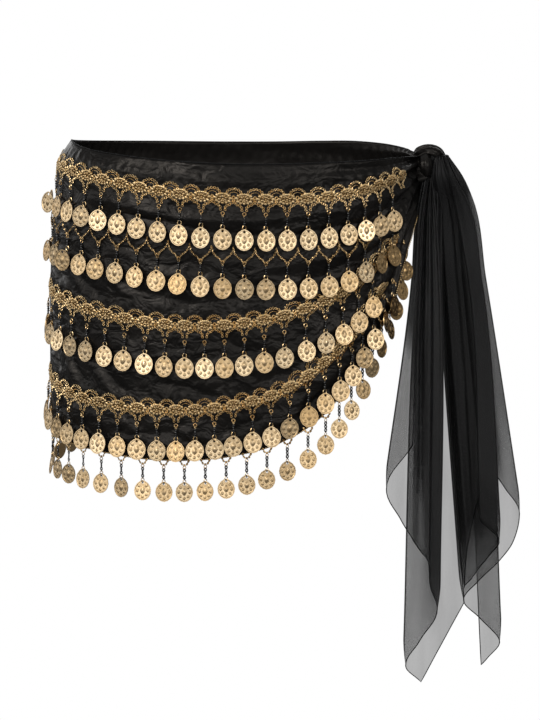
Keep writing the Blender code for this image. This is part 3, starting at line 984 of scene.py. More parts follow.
def roll_hem(cloth: Piece, radius: float) -> Piece:
    """A rolled hem along a sheet's open edges.

    Args:
        cloth: The sheet, before it has its wall.
        radius: The roll's radius.

    Returns:
        The hem, as a tube along the edges.
    """
    take(copied(cloth))
    bpy.ops.object.mode_set(mode="EDIT")
    bpy.ops.mesh.select_mode(type="EDGE")
    bpy.ops.mesh.select_all(action="DESELECT")
    bpy.ops.mesh.select_non_manifold()
    bpy.ops.mesh.select_all(action="INVERT")
    bpy.ops.mesh.delete(type="EDGE_FACE")
    bpy.ops.object.mode_set(mode="OBJECT")
    bpy.ops.object.convert(target="CURVE")
    curve = bpy.context.object.data
    curve.bevel_depth, curve.bevel_resolution, curve.use_fill_caps = radius * MM, 1, True
    bpy.ops.object.convert(target="MESH")
    hem = bpy.context.object
    hem.name = hem.data.name = f"{cloth.name}_hem"
    hem.data.materials.clear()
    hem.data.materials.append(Finishes.HEM.material())
    bpy.ops.object.shade_smooth()
    return hem


def fit(piece: Piece, slot: str, stands: bool = True) -> Piece:
    """Makes a piece ride on the scarf.

    Args:
        piece: The finished piece.
        slot: The imported node, which is hidden when the piece stands for it.
        stands: Whether it stands for that node.

    Returns:
        The piece.
    """
    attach(piece, "root")
    if stands:
        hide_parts(slot)
    log.info("%s: %d faces", piece.name, len(piece.data.polygons))
    return piece


def hemmed(cloth: Piece, node: str, wall: float, hem_radius: float) -> Piece:
    """Rolls a sheet's hem, gives the sheet its wall, and makes both ride on the scarf.

    Args:
        cloth: The sheet, which stands for the node.
        node: The node.
        wall: The sheet's thickness, half of it on each side.
        hem_radius: The roll's radius.

    Returns:
        The hem.
    """
    hem = roll_hem(cloth, hem_radius)
    modify(cloth, "SOLIDIFY", thickness=wall * MM, offset=0.0)
    fit(cloth, node)
    return fit(hem, node, stands=False)


# Coins, beads and rings.

# Edges that turn by less than these degrees are smooth.
COIN_SMOOTH = 24.0
DROPS_SMOOTH = 50.0
LACE_SMOOTH = 70.0


def facing(point: Vector, along: Vector, out: Vector) -> Matrix:
    """A matrix that puts a piece on the cloth.

    Args:
        point: Where its origin goes.
        along: Where its +X goes.
        out: Where its -Y goes.

    Returns:
        The matrix.
    """
    inward = -(out - along * out.dot(along)).normalized()
    return Matrix.Translation(point * MM) @ Matrix((along, inward, along.cross(inward))).transposed().to_4x4()


def turned(tip: float = 0.0, tilt: float = 0.0, turn: float = 0.0) -> Matrix:
    """A turn by degrees round X, then round Y, then round Z."""
    return Euler([math.radians(degrees) for degrees in (tip, tilt, turn)]).to_matrix().to_4x4()


@dataclass
class Coin:
    """A thin stamped coin with a rim, seven raised dots round a diamond, and a hole at its top."""

    width: float = 18.6
    height: float = 21.4
    thickness: float = 0.8
    sides: int = 16
    # Above each share of its radius the coin narrows, so that its outline is an egg's.
    narrowing: tuple = ((0.2, 0.97), (0.55, 0.93), (0.85, 0.82))
    rim: float = 0.85
    rim_slope: float = 0.5
    sink: float = 0.38
    hole_radius: float = 1.3
    hole_height: float = 8.1
    dot_ring: float = 5.85
    dot_radius: float = 1.9
    boss_rise: float = 0.56
    middle_radius: float = 3.1
    middle_stretch: float = 1.42
    # Painted shade at the bosses' feet, on the bosses and on the coin's outer edge.
    feet_tarnish: float = 0.64
    boss_tarnish: float = 0.56
    edge_tarnish: float = 0.5

    @property
    def field_y(self) -> float:
        """How deep the sunk field lies."""
        return self.sink - self.thickness / 2

    def _round(self, sides: int, foot: float, top: float, depth: float, spot: tuple, ends: str) -> Piece:
        """A disc or a cone that faces -Y, open or closed at its ends."""
        sizes = {"vertices": sides, "radius1": foot, "radius2": top, "depth": depth, "end_fill_type": ends}
        return start(bpy.ops.mesh.primitive_cone_add, Finishes.COIN, spot, True, **sizes)

    def _boss(self, sides: int, radius: float, rise: float, top: float = 0.0) -> Piece:
        """A low cone on the coin's field, which is shaded as a dome and has nothing under it."""
        return self._round(sides, radius, top, rise, (0.0, self.field_y - rise / 2, 0.0), "NOTHING")

    def build(self) -> Piece:
        """Models the coin with its face towards -Y.

        Returns:
            The coin, centred on the origin.
        """
        radius, middle = self.width / 2, (0.0, 0.0, 0.0)
        coin = self._round(self.sides, radius, radius, self.thickness, middle, "NGON")
        for above, narrower in self.narrowing:
            shape(coin, lambda corner: corner.co.z > above * radius * MM, lambda: press(narrower, 1.0))
        shape(coin, None, lambda: press(1.0, self.height / self.width))
        shape(
            coin,
            lambda face: face.normal.y < -0.9,
            lambda: bpy.ops.mesh.inset(thickness=self.rim * MM),
            lambda: bpy.ops.mesh.inset(thickness=self.rim_slope * MM, depth=-self.sink * MM),
            kind="FACE",
        )
        spot = (0.0, 0.0, self.hole_height)
        hole = self._round(8, self.hole_radius, self.hole_radius, 4 * self.thickness, spot, "NGON")
        modify(coin, "BOOLEAN", object=hole, operation="DIFFERENCE")
        discard(hole)
        bosses = [self._diamond(), *(self._dot(90.0 + 45.0 * step) for step in range(1, 8))]
        coin = join("coin", [coin, *bosses], COIN_SMOOTH)
        self._tarnish(coin)
        return coin

    def _diamond(self) -> Piece:
        """The long four-lobed dome in the middle.

        Returns:
            The dome, in two tiers.
        """
        shoulder = 0.4 * self.middle_radius
        skirt = self._boss(8, self.middle_radius, self.boss_rise, shoulder)
        cap = self._boss(8, shoulder, 0.4 * self.boss_rise)
        cap.data.transform(Matrix.Translation((0.0, -self.boss_rise * MM, 0.0)))
        boss = stretched(join("dome", [skirt, cap], DROPS_SMOOTH), 1.0, self.middle_stretch)
        shape(boss, None, merge)
        shape(
            boss,
            lambda corner: min(abs(corner.co.x), abs(corner.co.z)) > 0.4 * MM,
            lambda: press(0.86, 0.86),
        )
        return boss

    def _dot(self, degrees: float) -> Piece:
        """One raised dot.

        Args:
            degrees: Where it is on the ring of dots. It is longer at the coin's two sides.

        Returns:
            The dot.
        """
        across, up = math.cos(math.radians(degrees)), math.sin(math.radians(degrees))
        longer = 1.4 if abs(across) > 0.9 else 1.0
        boss = stretched(self._boss(6, self.dot_radius, self.boss_rise), 0.95, longer)
        spot = Vector((across * self.dot_ring, 0.0, up * self.dot_ring * self.height / self.width))
        boss.data.transform(Matrix.Translation(spot * MM))
        return boss

    def _tarnish(self, coin: Piece) -> None:
        """Paints shade on the edges, the bosses and most of all their feet, darkening them towards the shade
        colour.

        Args:
            coin: The coin.
        """
        mesh, feet = coin.data, (self.field_y - 0.05) * MM
        edges = {corner for face in mesh.polygons if abs(face.normal.y) < 0.3 for corner in face.vertices}
        # Each corner's share of painted shade.
        dull = []
        for face in mesh.polygons:
            sloping = abs(face.normal.y) < 0.985
            for corner in face.vertices:
                on_slope = self.feet_tarnish if mesh.vertices[corner].co.y > feet else self.boss_tarnish
                dull.append(self.edge_tarnish if corner in edges else on_slope * sloping)
        paint(coin, "tarnish", dull, "CORNER")


class WireRing(NamedTuple):
    """A ring or a link of wire, and how it is stretched."""

    finish: Finishes
    steps: int
    radius: float
    wire: float
    across: float = 1.0
    up: float = 1.4


WIRE_RINGS = {
    "ring": WireRing(Finishes.RING, 10, 1.65, 0.46, up=1.0),
    "bail": WireRing(Finishes.RING, 10, 1.65, 0.391, 1.15, 1.6),
    "gold_link": WireRing(Finishes.CHAIN, 8, 0.705, 0.42),
    "fork_link": WireRing(Finishes.RING, 8, 0.58, 0.62),
    "black_link": WireRing(Finishes.JET, 8, 1.065, 0.66),
}


@dataclass
class Findings:
    """The small fittings between the cloth and the coins, and what each kind of coin hangs by.

    Each fitting is modelled once. Heights on a string are measured from the sewn line.
    """

    bead_radius: float = 1.15
    pitch: float = FAN_PITCH
    # A chain arm's way in from its catch and down.
    swag: tuple = (
        (0.0, 2.4), (0.4, -0.5), (1.3, -3.2), (2.9, -5.6),
        (5.0, -7.5), (7.2, -9.0), (8.9, -10.9), (9.9, -13.0),
    )
    masters: dict = field(default_factory=dict)

    def build(self) -> None:
        """Models a bead, a grain and every ring and link."""
        add_ball = bpy.ops.mesh.primitive_uv_sphere_add
        made = {name: stretched(ring(*row[:4]), row.across, row.up) for name, row in WIRE_RINGS.items()}
        made["bead"] = start(add_ball, Finishes.JET, segments=6, ring_count=4, radius=self.bead_radius)
        add_grain = bpy.ops.mesh.primitive_ico_sphere_add
        made["grain"] = start(add_grain, Finishes.RING, subdivisions=1, radius=1.0)
        self.masters = {name: join(name, [item]) for name, item in made.items()}

    def put(self, name: str, z: float, turn: float = 0.0, tilt: float = 0.0, size: float = 1.0) -> Piece:
        """A copy of a master at a height, turned round the upright axis and tilted in its own face."""
        matrix = Matrix.Translation((0.0, 0.0, z * MM)) @ turned(0.0, tilt, turn) @ Matrix.Scale(size, 4)
        return copied(self.masters[name], matrix)

    def chain(self, name: str, route: Sequence[tuple], twist: float = 80.0, size: float = 1.0) -> list[Piece]:
        """Links along a route.

        Args:
            name: The link's master.
            route: Points (x, y, z) at the links' ends.
            twist: The turn of every other link.
            size: The links' scale.

        Returns:
            The links.
        """
        links = []
        for number, (start_point, end_point) in enumerate(zip(route, route[1:])):
            a, b = Vector(start_point), Vector(end_point)
            lean = turned(0.0, math.degrees(math.atan2(b.x - a.x, b.z - a.z)))
            place = Matrix.Translation((a + b) / 2 * MM) @ lean @ turned(turn=twist * (number % 2))
            links.append(copied(self.masters[name], place @ Matrix.Scale(size, 4)))
        return links

    def bead_string(self) -> Piece:
        """Rings and seed beads, from the lace to the coin's hole.

        Returns:
            The string.
        """
        pieces = [self.put("ring", -12.9, size=1.05), self.put("ring", -15.5, 65, size=0.75)]
        pieces.append(self.put("bail", -26.9, 8))
        for number in range(4):
            pieces.append(self.put("bead", -17.5 - 2.25 * number, 23 * number, 17 * number, 1.04))
        return join("bead_string", pieces)

    def swagged_string(self) -> Piece:
        """A bead string hung from two arms of gold chain that are caught up to the cloth on each side.

        Returns:
            The string.
        """
        arms = []
        for side in (-1, 1):
            route = []
            for number, (x, z) in enumerate(self.swag):
                route.append((side * (self.pitch / 2 - x), max(1.4 - 0.5 * number, -0.6), z))
            arms += self.chain("gold_link", route, twist=42.0)
        return join("swagged_string", [self.bead_string(), *arms])

    def link_string(self) -> Piece:
        """A small gold fork with a cross bar at the hem, black links and two rings.

        Returns:
            The string.
        """
        pieces = self.chain("fork_link", [(-1.8, 0.0, -4.2), (1.8, 0.0, -4.2)], size=0.9)
        for side in (-1, 1):
            route = [(side * 4.7, 0.0, 1.0), (side * 3.4, 0.0, -1.7), (side * 1.9, 0.0, -4.4)]
            pieces += self.chain("fork_link", route, twist=20.0)
        pieces += self.chain("black_link", [(0.0, 0.0, -7.9 - 3.45 * i) for i in range(4)], twist=40.0)
        pieces += [self.put("black_link", -22.7, 70, size=0.72), self.put("ring", -6.5, 15, size=0.88)]
        return join("link_string", [*pieces, self.put("ring", -20.5, 20, size=0.9)])


# Gold lace.


@dataclass
class Lace:
    """One repeat of the gold filigree lace, in two units: a leafy fan, and the arches between fans.

    Leaves are (degrees round the fan, inner and outer share of its reach, width).
    """

    half_width: float = 9.9
    half_height: float = 5.9
    leaf_thickness: float = 1.3
    outer_leaves: tuple = (3, 24, 45, 67, 90, 113, 135, 156, 177, -22, -48, -90, -132, -158)
    grains: tuple = ((5.0, 1.6), (6.6, -0.9), (4.4, -2.9), (2.3, 2.9), (1.7, -3.4))
    foot: tuple = ((10.3, -1.4), (9.3, -4.1), (7.0, -5.9), (4.4, -6.8), (2.6, -8.6), (2.3, -11.2))
    loop_radius: float = 1.15
    loop_wire: float = 0.32
    loops_y: float = -0.62
    front: float = -0.95
    shaded_depth: float = 0.5
    body_tarnish: float = 0.24
    body_reach: float = 0.95

    def _loop(self, x: float, z: float) -> Piece:
        """A small worked loop."""
        return ring(Finishes.LACE, 7, self.loop_radius, self.loop_wire, (x, self.loops_y, z))

    def _grain(self, x: float, z: float, radius: float) -> Piece:
        """A small ball of metal on the lace's face."""
        add = bpy.ops.mesh.primitive_ico_sphere_add
        return start(add, Finishes.LACE, (x, self.front, z), subdivisions=1, radius=radius)

    def _leaf(self, degrees: float, inner: float, outer: float, width: float) -> Piece:
        """A leaf that points away from the fan's middle.

        Args:
            degrees: Its direction.
            inner: Where it starts, as a share of the fan's reach.
            outer: Where it ends.
            width: Its width.

        Returns:
            The leaf.
        """
        angle = math.radians(degrees)
        reach = 1.0 / math.hypot(math.cos(angle) / self.half_width, math.sin(angle) / self.half_height)
        add = bpy.ops.mesh.primitive_uv_sphere_add
        leaf = start(add, Finishes.LACE, segments=6, ring_count=4, radius=0.5)
        stretched(leaf, width, (outer - inner) * reach, self.leaf_thickness)
        out = Matrix.Translation((0.0, -0.4 * MM, (inner + outer) / 2 * reach * MM))
        leaf.data.transform(turned(0.0, 90.0 - degrees) @ out)
        return leaf

    def _arch(self, half_width: float, height: float, foot: float, wire: float, steps: int) -> Piece:
        """A wire arch: a small profile spun through half a turn and pressed to its height.

        Args:
            half_width: Half its span.
            height: Its height over its feet.
            foot: How high its feet are.
            wire: Its wire's radius.
            steps: Its steps round.

        Returns:
            The arch.
        """
        spot = (half_width, 0.0, 0.0)
        arch = start(bpy.ops.mesh.primitive_circle_add, Finishes.LACE, spot, vertices=4, radius=wire)
        spin = {"steps": steps, "angle": math.pi, "center": (0.0, 0.0, 0.0), "axis": (0.0, 1.0, 0.0)}
        shape(arch, None, lambda: bpy.ops.mesh.spin(**spin))
        shape(arch, None, face_out, kind="FACE")
        stretched(arch, 1.0, height / half_width)
        arch.data.transform(Matrix.Translation((0.0, -0.5 * MM, foot * MM)))
        return arch

    def fan(self) -> Piece:
        """The leafy fan with its grains, and the chain loops round its foot.

        Returns:
            The unit, centred on the sewn line.
        """
        add = bpy.ops.mesh.primitive_circle_add
        plate = start(add, Finishes.LACE, standing=True, vertices=14, radius=1.0, fill_type="NGON")
        pieces = [stretched(plate, 0.9 * self.half_width, 0.9 * self.half_height)]
        pieces += [self._leaf(degrees, 0.56, 1.0, 2.8) for degrees in self.outer_leaves]
        pieces += [self._leaf(degrees, 0.18, 0.58, 1.9) for degrees in range(15, 375, 45)]
        pieces += [self._grain(side * x, z, 0.6) for side in (-1, 1) for x, z in self.grains]
        pieces.append(self._grain(0.0, -0.4, 1.2))
        pieces += [self._loop(side * x, z) for side in (-1, 1) for x, z in self.foot]
        return self._tarnish(join("lace_fan", pieces, LACE_SMOOTH), self.body_tarnish)

    def arches(self) -> Piece:
        """Two arches over a small ring, the outer one of worked loops.

        Returns:
            The unit, centred between two fans on the sewn line.
        """
        middle = ring(Finishes.LACE, 10, 1.5, 0.55, (0.0, self.loops_y, 1.2))
        pieces = [middle, self._arch(5.2, 4.4, 2.2, 0.38, 10)]
        for degrees in range(20, 180, 20):
            angle = math.radians(degrees)
            pieces.append(self._loop(8.7 * math.cos(angle), 2.2 + 7.7 * math.sin(angle)))
        return self._tarnish(join("lace_arches", pieces), 0.0)

    def _tarnish(self, item: Piece, body: float) -> Piece:
        """Paints shade on what lies deep in the lace, and darkens a fan's body evenly.

        Args:
            item: The unit.
            body: How far its body is darkened.

        Returns:
            The unit.
        """
        x, y, z = np.array([tuple(corner.co) for corner in item.data.vertices]).T / MM
        # Painted shade, darker the further behind the lace's front a corner lies.
        dull = np.clip(1.0 - y / self.front / self.shaded_depth, 0.0, 1.0)
        inside = np.hypot(x / self.half_width, z / self.half_height) < self.body_reach
        paint(item, "tarnish", np.maximum(dull, body * inside))
        return item


# The pieces.


@dataclass
class WornCloth:
    """A stretch of the scarf's cloth, a thin creased shell round the hips with rolled edges."""

    stretch: Stretch
    flat: tuple
    flat_area: float
    columns: int = 210
    rows: int = 92
    seam: float = 0.06
    end_angle: float = 178.6
    hem_radius: float = 0.55

    def build(self, trimmings: Sequence[Piece], rests_on: Sequence[str]) -> None:
        """Args:
            trimmings: The lace, the coins and the knot pieces that are on it. Not used.
            rests_on: What it hangs from. Not used.
        """
        angles = self.seam + (self.end_angle - self.seam) * np.linspace(0.0, 1.0, self.columns)
        angles = angles[:: self.stretch.side]
        top, hem = self.stretch.lines["top"].at(angles), self.stretch.lines["hem"].at(angles)
        heights = top + (hem - top) * np.linspace(0.0, 1.0, self.rows)[:, None]
        points = self.stretch.surface(np.broadcast_to(angles, heights.shape), heights, CLOTH_WALL)[0]
        cloth = sheet(f"cloth_{self.stretch.place}", points, Finishes.CHIFFON)
        hem_piece = hemmed(cloth, f"wrap_{self.stretch.place}", CLOTH_WALL, self.hem_radius)


class RowStyle(Enum):
    """How a row of coins hangs."""

    BEADS = "bead_string"
    SWAGS = "swagged_string"
    LINKS = "link_string"


class CoinRow(NamedTuple):
    """A row of coins: what it is sewn to, how it hangs, and where it ends at the knot.

    Its tuck is how much of its drop the knot's pull takes up, and darkened is how far its coins' colour is
    moved towards the dull gold.
    """

    number: int
    seam: Seam
    style: RowStyle
    drop: float
    coin_size: float
    ends: tuple
    tuck: float
    darkened: float


COIN_ROWS = rows(
    CoinRow,
    (1, Seam("trim_1", 21.15, 12.5, 0.6), RowStyle.BEADS, 2.0, 1.0, (154.0, 160.0), 0.0, 0.16),
    (2, Seam("trim_1", 21.15, 12.5, 0.5), RowStyle.SWAGS, 50.5, 1.0, (153.0, 158.0), 6.0, 0.3),
    (3, Seam("trim_2", 19.65, -7.0, 0.0, 0.12), RowStyle.BEADS, 3.5, 1.0, (140.0, 156.0), 6.0, 0.28),
    (4, Seam("trim_3", 19.05, -17.0, 0.0, 0.12), RowStyle.BEADS, 2.5, 1.0, (149.5, 154.0), 9.0, 0.48),
    (5, Seam("hem", 20.75, -5.5, 0.0, 0.12), RowStyle.LINKS, 0.6, 0.94, (163.0, 161.0), 11.0, 0.42),
)
LACE_TRIMS = (
    (Seam("trim_1", 21.15, 12.5, 0.6), (159.0, 163.0)),
    (Seam("trim_2", 19.65, -7.0, 0.0, 0.12), (151.0, 159.0)),
    (Seam("trim_3", 19.05, -17.0, 0.0, 0.12), (145.0, 157.0)),
)


class Workbasket:
    """All the masters that rows and trims are copied from, and the draw that makes each copy differ."""

    def __init__(self) -> None:
        """Models every master once."""
        self.findings, self.coin_sizes, lace = Findings(), Coin(), Lace()
        self.findings.build()
        self.strings = {style: getattr(self.findings, style.value)() for style in RowStyle}
        self.fan, self.arches, self.coin = lace.fan(), lace.arches(), self.coin_sizes.build()
        self.draw = random.Random(DRAW_SEED)

    def empty(self) -> None:
        """Removes the masters."""
        discard(self.coin, self.fan, self.arches, *self.strings.values(), *self.findings.masters.values())


@dataclass
class HangingCoins:
    """One row of coins on one stretch.

    Each coin hangs straight, and is then turned, tipped and leant by a draw of its own. Coins turn a
    little to the front, more so in the first row near the knot. At the plain hip the first row's coins
    flare out, and near the knot the lower rows' coins hang loose and are darkened with painted shade.
    """

    stretch: Stretch
    row: CoinRow
    basket: Workbasket
    bead_drop: float = 30.3
    link_drop: float = 23.4
    swing_turn: float = 5.0
    link_swing: float = 2.2
    face_up: float = 6.5
    swing_tip: float = 2.8
    swing_lean: float = 1.6
    facing_share: float = 0.78
    knot_facing: float = 0.7
    loose_from_angle: float = 141.5
    loose_ease: float = 12.0
    loose_turn: float = 19.0
    loose_shade: float = 1.0
    seam_turn: float = 42.0
    seam_reach: float = 9.0
    seam_clear: float = 5.0
    tone_spread: float = 0.24
    tucked: tuple = (0.1, 0.34)
    swag_rise: float = 0.3
    clear_most: float = 2.0
    hem_bead_pitch: float = 2.25
    hem_bead_size: float = 0.98
    hem_bead_standoff: float = 0.9
    hem_beads_past_end: float = 12.0
    link_standoff: float = 1.2
    string_standoff: float = 3.4
    coin_standoff: float = 4.8

    def build(self) -> Piece:
        """Copies the row's strings and coins onto the cloth.

        Returns:
            The joined row.
        """
        row, stretch = self.row, self.stretch
        end = row.ends[stretch.side < 0]
        pieces = []
        for angle in stretch.stations(row.seam):
            if angle < end:
                pieces += self._hang(angle)
        if row.style is RowStyle.LINKS:
            for angle in stretch.stations(Seam("hem", self.hem_bead_pitch, row.seam.through_x)):
                if angle < end + self.hem_beads_past_end:
                    point = stretch.spot("hem", angle, -0.2, CLOTH_WALL + self.hem_bead_standoff).point
                    place = Matrix.Translation(point * MM) @ Matrix.Scale(self.hem_bead_size, 4)
                    pieces.append(copied(self.basket.findings.masters["grain"], place))
        name = f"coins_{row.number}_{stretch.place}"
        return fit(join(f"{name}_drops", pieces, DROPS_SMOOTH), name)

    def _hang(self, angle: float) -> list[Piece]:
        """Hangs one coin.

        Args:
            angle: Where it is sewn.

        Returns:
            Its string and the coin.
        """
        row, draw, coin, stretch = self.row, self.basket.draw, self.basket.coin_sizes, self.stretch
        links, first = row.style is RowStyle.LINKS, row.number == 1
        pull = float(stretch.pull(angle))
        hole_drop = self.link_drop if links else self.bead_drop
        reach = hole_drop + coin.hole_height * row.coin_size
        drop = row.drop * (1.0 - self.swag_rise * pull) if row.style is RowStyle.SWAGS else row.drop
        drop -= row.tuck * float(ramp(pull, *self.tucked))
        sewn = stretch.spot(row.seam.line, angle, drop, self.link_standoff if links else self.string_standoff)
        low = stretch.spot(row.seam.line, angle, drop + reach, self.coin_standoff).point
        low = sewn.point - Vector((0.0, 0.0, reach)) if links else low
        hang = (sewn.point - low).normalized()
        along = hang.cross(sewn.out).normalized()
        loose = not first and angle > self.loose_from_angle
        yaw = math.atan2(sewn.out.x, -sewn.out.y)
        outward = self.facing_share - (self.knot_facing * pull if first else 0.0)
        ease = -(1.0 - outward) * math.degrees(yaw) * math.sqrt(max(0.0, math.cos(yaw)))
        ease = self.loose_ease * stretch.side if loose else ease
        spread = self.loose_turn if loose else self.swing_turn * (self.link_swing if links else 1.0)
        flare = math.exp(-((angle / self.seam_reach) ** 2)) if first else 0.0
        turn = ease + draw.gauss(0.0, spread) + flare * self.seam_turn
        swing = turned(draw.gauss(-self.face_up, self.swing_tip), draw.gauss(0.0, self.swing_lean), turn)
        edge = abs(math.sin(math.radians(turn))) * coin.width / 2 - 1.0
        clear = 0.0 if links else min(self.clear_most + self.seam_clear * flare, max(0.0, edge))
        hole = facing(sewn.point - hang * hole_drop + sewn.out * clear, along, sewn.out)
        lowered = Matrix.Translation((0.0, 0.0, -coin.hole_height * row.coin_size * MM))
        hung = copied(self.basket.coin, hole @ swing @ lowered @ Matrix.Scale(row.coin_size, 4))
        tone_spread = self.tone_spread * (0.5 if links else 1.0)
        # Loose coins near the knot get painted shade: their tone is raised past 1, towards the shade colour.
        darkened = max(0.0, draw.gauss(row.darkened, tone_spread)) + self.loose_shade * loose
        paint(hung, "tone", [darkened] * len(hung.data.vertices))
        return [copied(self.basket.strings[row.style], facing(sewn.point, along, sewn.out)), hung]


@dataclass
class LaceTrim:
    """One length of gold lace on one stretch, which ends at one angle on the front and one on the back."""

    stretch: Stretch
    seam: Seam
    ends: tuple
    basket: Workbasket
    standoff: float = 1.35

    def build(self) -> Piece:
        """Copies the lace's two units along the sewn line and drapes each one over the cloth.

        Returns:
            The joined trim.
        """
        stretch, seam, pieces = self.stretch, self.seam, []
        for unit, shift in ((self.basket.fan, 0.0), (self.basket.arches, seam.pitch / 2)):
            flat = np.array([tuple(corner.co) for corner in unit.data.vertices]) / MM
            for angle in stretch.stations(seam._replace(through_x=seam.through_x + shift)):
                if angle < self.ends[stretch.side < 0]:
                    squeeze = seam.pitch / FAN_PITCH / float(stretch.closeness(angle, seam))
                    spots = stretch.drape(flat * (squeeze, 1.0, 1.0), seam.line, angle, self.standoff)
                    pieces.append(copied(unit))
                    pieces[-1].data.vertices.foreach_set("co", (spots * MM).ravel())
        node = f"{seam.line}_{stretch.place}"
        return fit(join(f"{node}_lace", pieces, LACE_SMOOTH), node)


# The knot and the free ends.


@dataclass
class RolledCloth:
    """Cloth gathered into a roll, with soft folds that run along it.

    Its stations are (x, y, z, radius) along its middle line.
    """

    name: str
    node: str
    depth: float
    folds: int
    twist: float
    fold_depth: float
    stations: tuple
    steps: int = 60
    sides: int = 84

    def build(self) -> Piece:
        """Sweeps a folded outline along the middle line and closes both ends.

        Returns:
            The finished roll.
        """
        places = np.linspace(0.0, 1.0, len(self.stations))
        share = np.linspace(0.0, 1.0, self.steps)
        *middle, radius = (Curve(places, column).at(share) for column in zip(*self.stations))
        middle = np.stack(middle, axis=-1)
        ahead = np.gradient(middle, axis=0)
        ahead /= np.linalg.norm(ahead, axis=1)[:, None]
        level = np.cross(ahead, (0.0, 1.0, 0.0))
        level /= np.linalg.norm(level, axis=1)[:, None]
        inward = np.cross(ahead, level)
        turn = np.linspace(0.0, 2 * math.pi, self.sides, endpoint=False)
        phase = self.twist * share[:, None]
        fold = np.cos(self.folds * turn + phase) + 0.5 * np.cos((self.folds * 2 - 3) * turn - 1.4 * phase)
        reach = radius[:, None] - self.fold_depth * (0.75 - 0.5 * fold)
        across, deep = (np.cos(turn) * reach)[..., None], (np.sin(turn) * reach * self.depth)[..., None]
        grid = middle[:, None] + level[:, None] * across + inward[:, None] * deep
        item = sheet(self.name, np.concatenate([grid, grid[:, :1]], axis=1), Finishes.CHIFFON)
        shape(
            item,
            None,
            merge,
            lambda: bpy.ops.mesh.select_all(action="DESELECT"),
            lambda: bpy.ops.mesh.select_non_manifold(),
            lambda: bpy.ops.mesh.fill_holes(sides=0),
            lambda: bpy.ops.mesh.select_all(action="SELECT"),
            face_out,
        )
        return fit(item, self.node)


KNOT_THROAT = RolledCloth(
    "knot_throat", "knot_core", 0.8, 9, 1.0, 1.5,
    (
        (184.5, -0.5, -32.2, 17.0), (186.6, -0.5, -32.0, 17.4), (188.8, -0.5, -31.6, 17.2),
        (191.2, -0.5, -29.4, 13.4), (194.0, -0.5, -26.8, 7.6), (198.0, -0.5, -26.2, 6.4),
        (203.0, -0.5, -27.0, 8.2),
    ),
)
KNOT_LOOP = RolledCloth(
    "knot_loop_over", "knot_loop", 1.15, 6, 1.6, 1.5,
    (
        (182.6, 4.0, -16.4, 3.6), (187.0, 2.5, -14.2, 6.4), (192.6, 0.5, -11.4, 6.4),
        (199.0, -1.0, -11.0, 6.6), (204.6, 1.0, -13.6, 6.8), (208.2, 5.0, -18.8, 6.4),
        (210.0, 8.5, -25.0, 5.8), (210.6, 10.5, -34.0, 5.0), (210.6, 11.0, -44.0, 4.0),
    ),
)


@dataclass
class KnotBand:
    """The band that wraps the knot's throat: a soft ring with folds that run round it."""

    centre: tuple = (193.2, -3.0, -26.0)
    ring_radius: float = 9.6
    roll_radius: float = 4.4
    width: float = 1.45
    taper: float = 0.45
    folds: int = 4
    fold_depth: float = 0.372

    def build(self) -> Piece:
        """Shapes a ring into folds.

        Returns:
            The finished band.
        """
        sizes = {"major_radius": self.ring_radius, "minor_radius": self.roll_radius}
        add = bpy.ops.mesh.primitive_torus_add
        band = start(add, Finishes.CHIFFON, major_segments=64, minor_segments=56, **sizes)
        for corner in band.data.vertices:
            spot = corner.co / MM
            angle = math.atan2(spot.y, spot.x)
            middle = Vector((math.cos(angle), math.sin(angle), 0.0)) * self.ring_radius
            roll = spot - middle
            roll_angle = math.atan2(roll.z, roll.dot(middle.normalized()))
            fold = math.cos(self.folds * roll_angle + 1.2 * math.sin(angle)) - 1.0
            spot = middle + roll.normalized() * (self.roll_radius + self.fold_depth * fold)
            high = min(1.0, abs(spot.x) / (self.ring_radius + self.roll_radius))
            spot.z *= 1.0 - self.taper * (1.0 - math.sqrt(1.0 - high * high))
            corner.co = spot * MM
        standing = Matrix.Rotation(math.pi / 2, 4, "Y") @ Matrix.Diagonal((1.0, 1.0, self.width, 1.0))
        band.data.transform(Matrix.Translation(Vector(self.centre) * MM) @ standing)
        return fit(join("knot_wrapped_band", [band]), "knot_band")


class FoldLine(NamedTuple):
    """A line down a free end, from inside the knot to the hem.

    The cloth doubles back where turns is true, and comes to a point where it is a tip. Its gathers are
    the layers of fine pleats that lie together beside it, at its collar, its waist and its hem. The last
    ones let go where it opens, as a share of the way from waist to hem.
    """

    head_x: float
    throat_x: float
    collar_x: float
    waist_x: float
    hem_x: float
    hem_z: float
    gathers: tuple
    opens: float
    turns: bool = False
    tip: bool = False


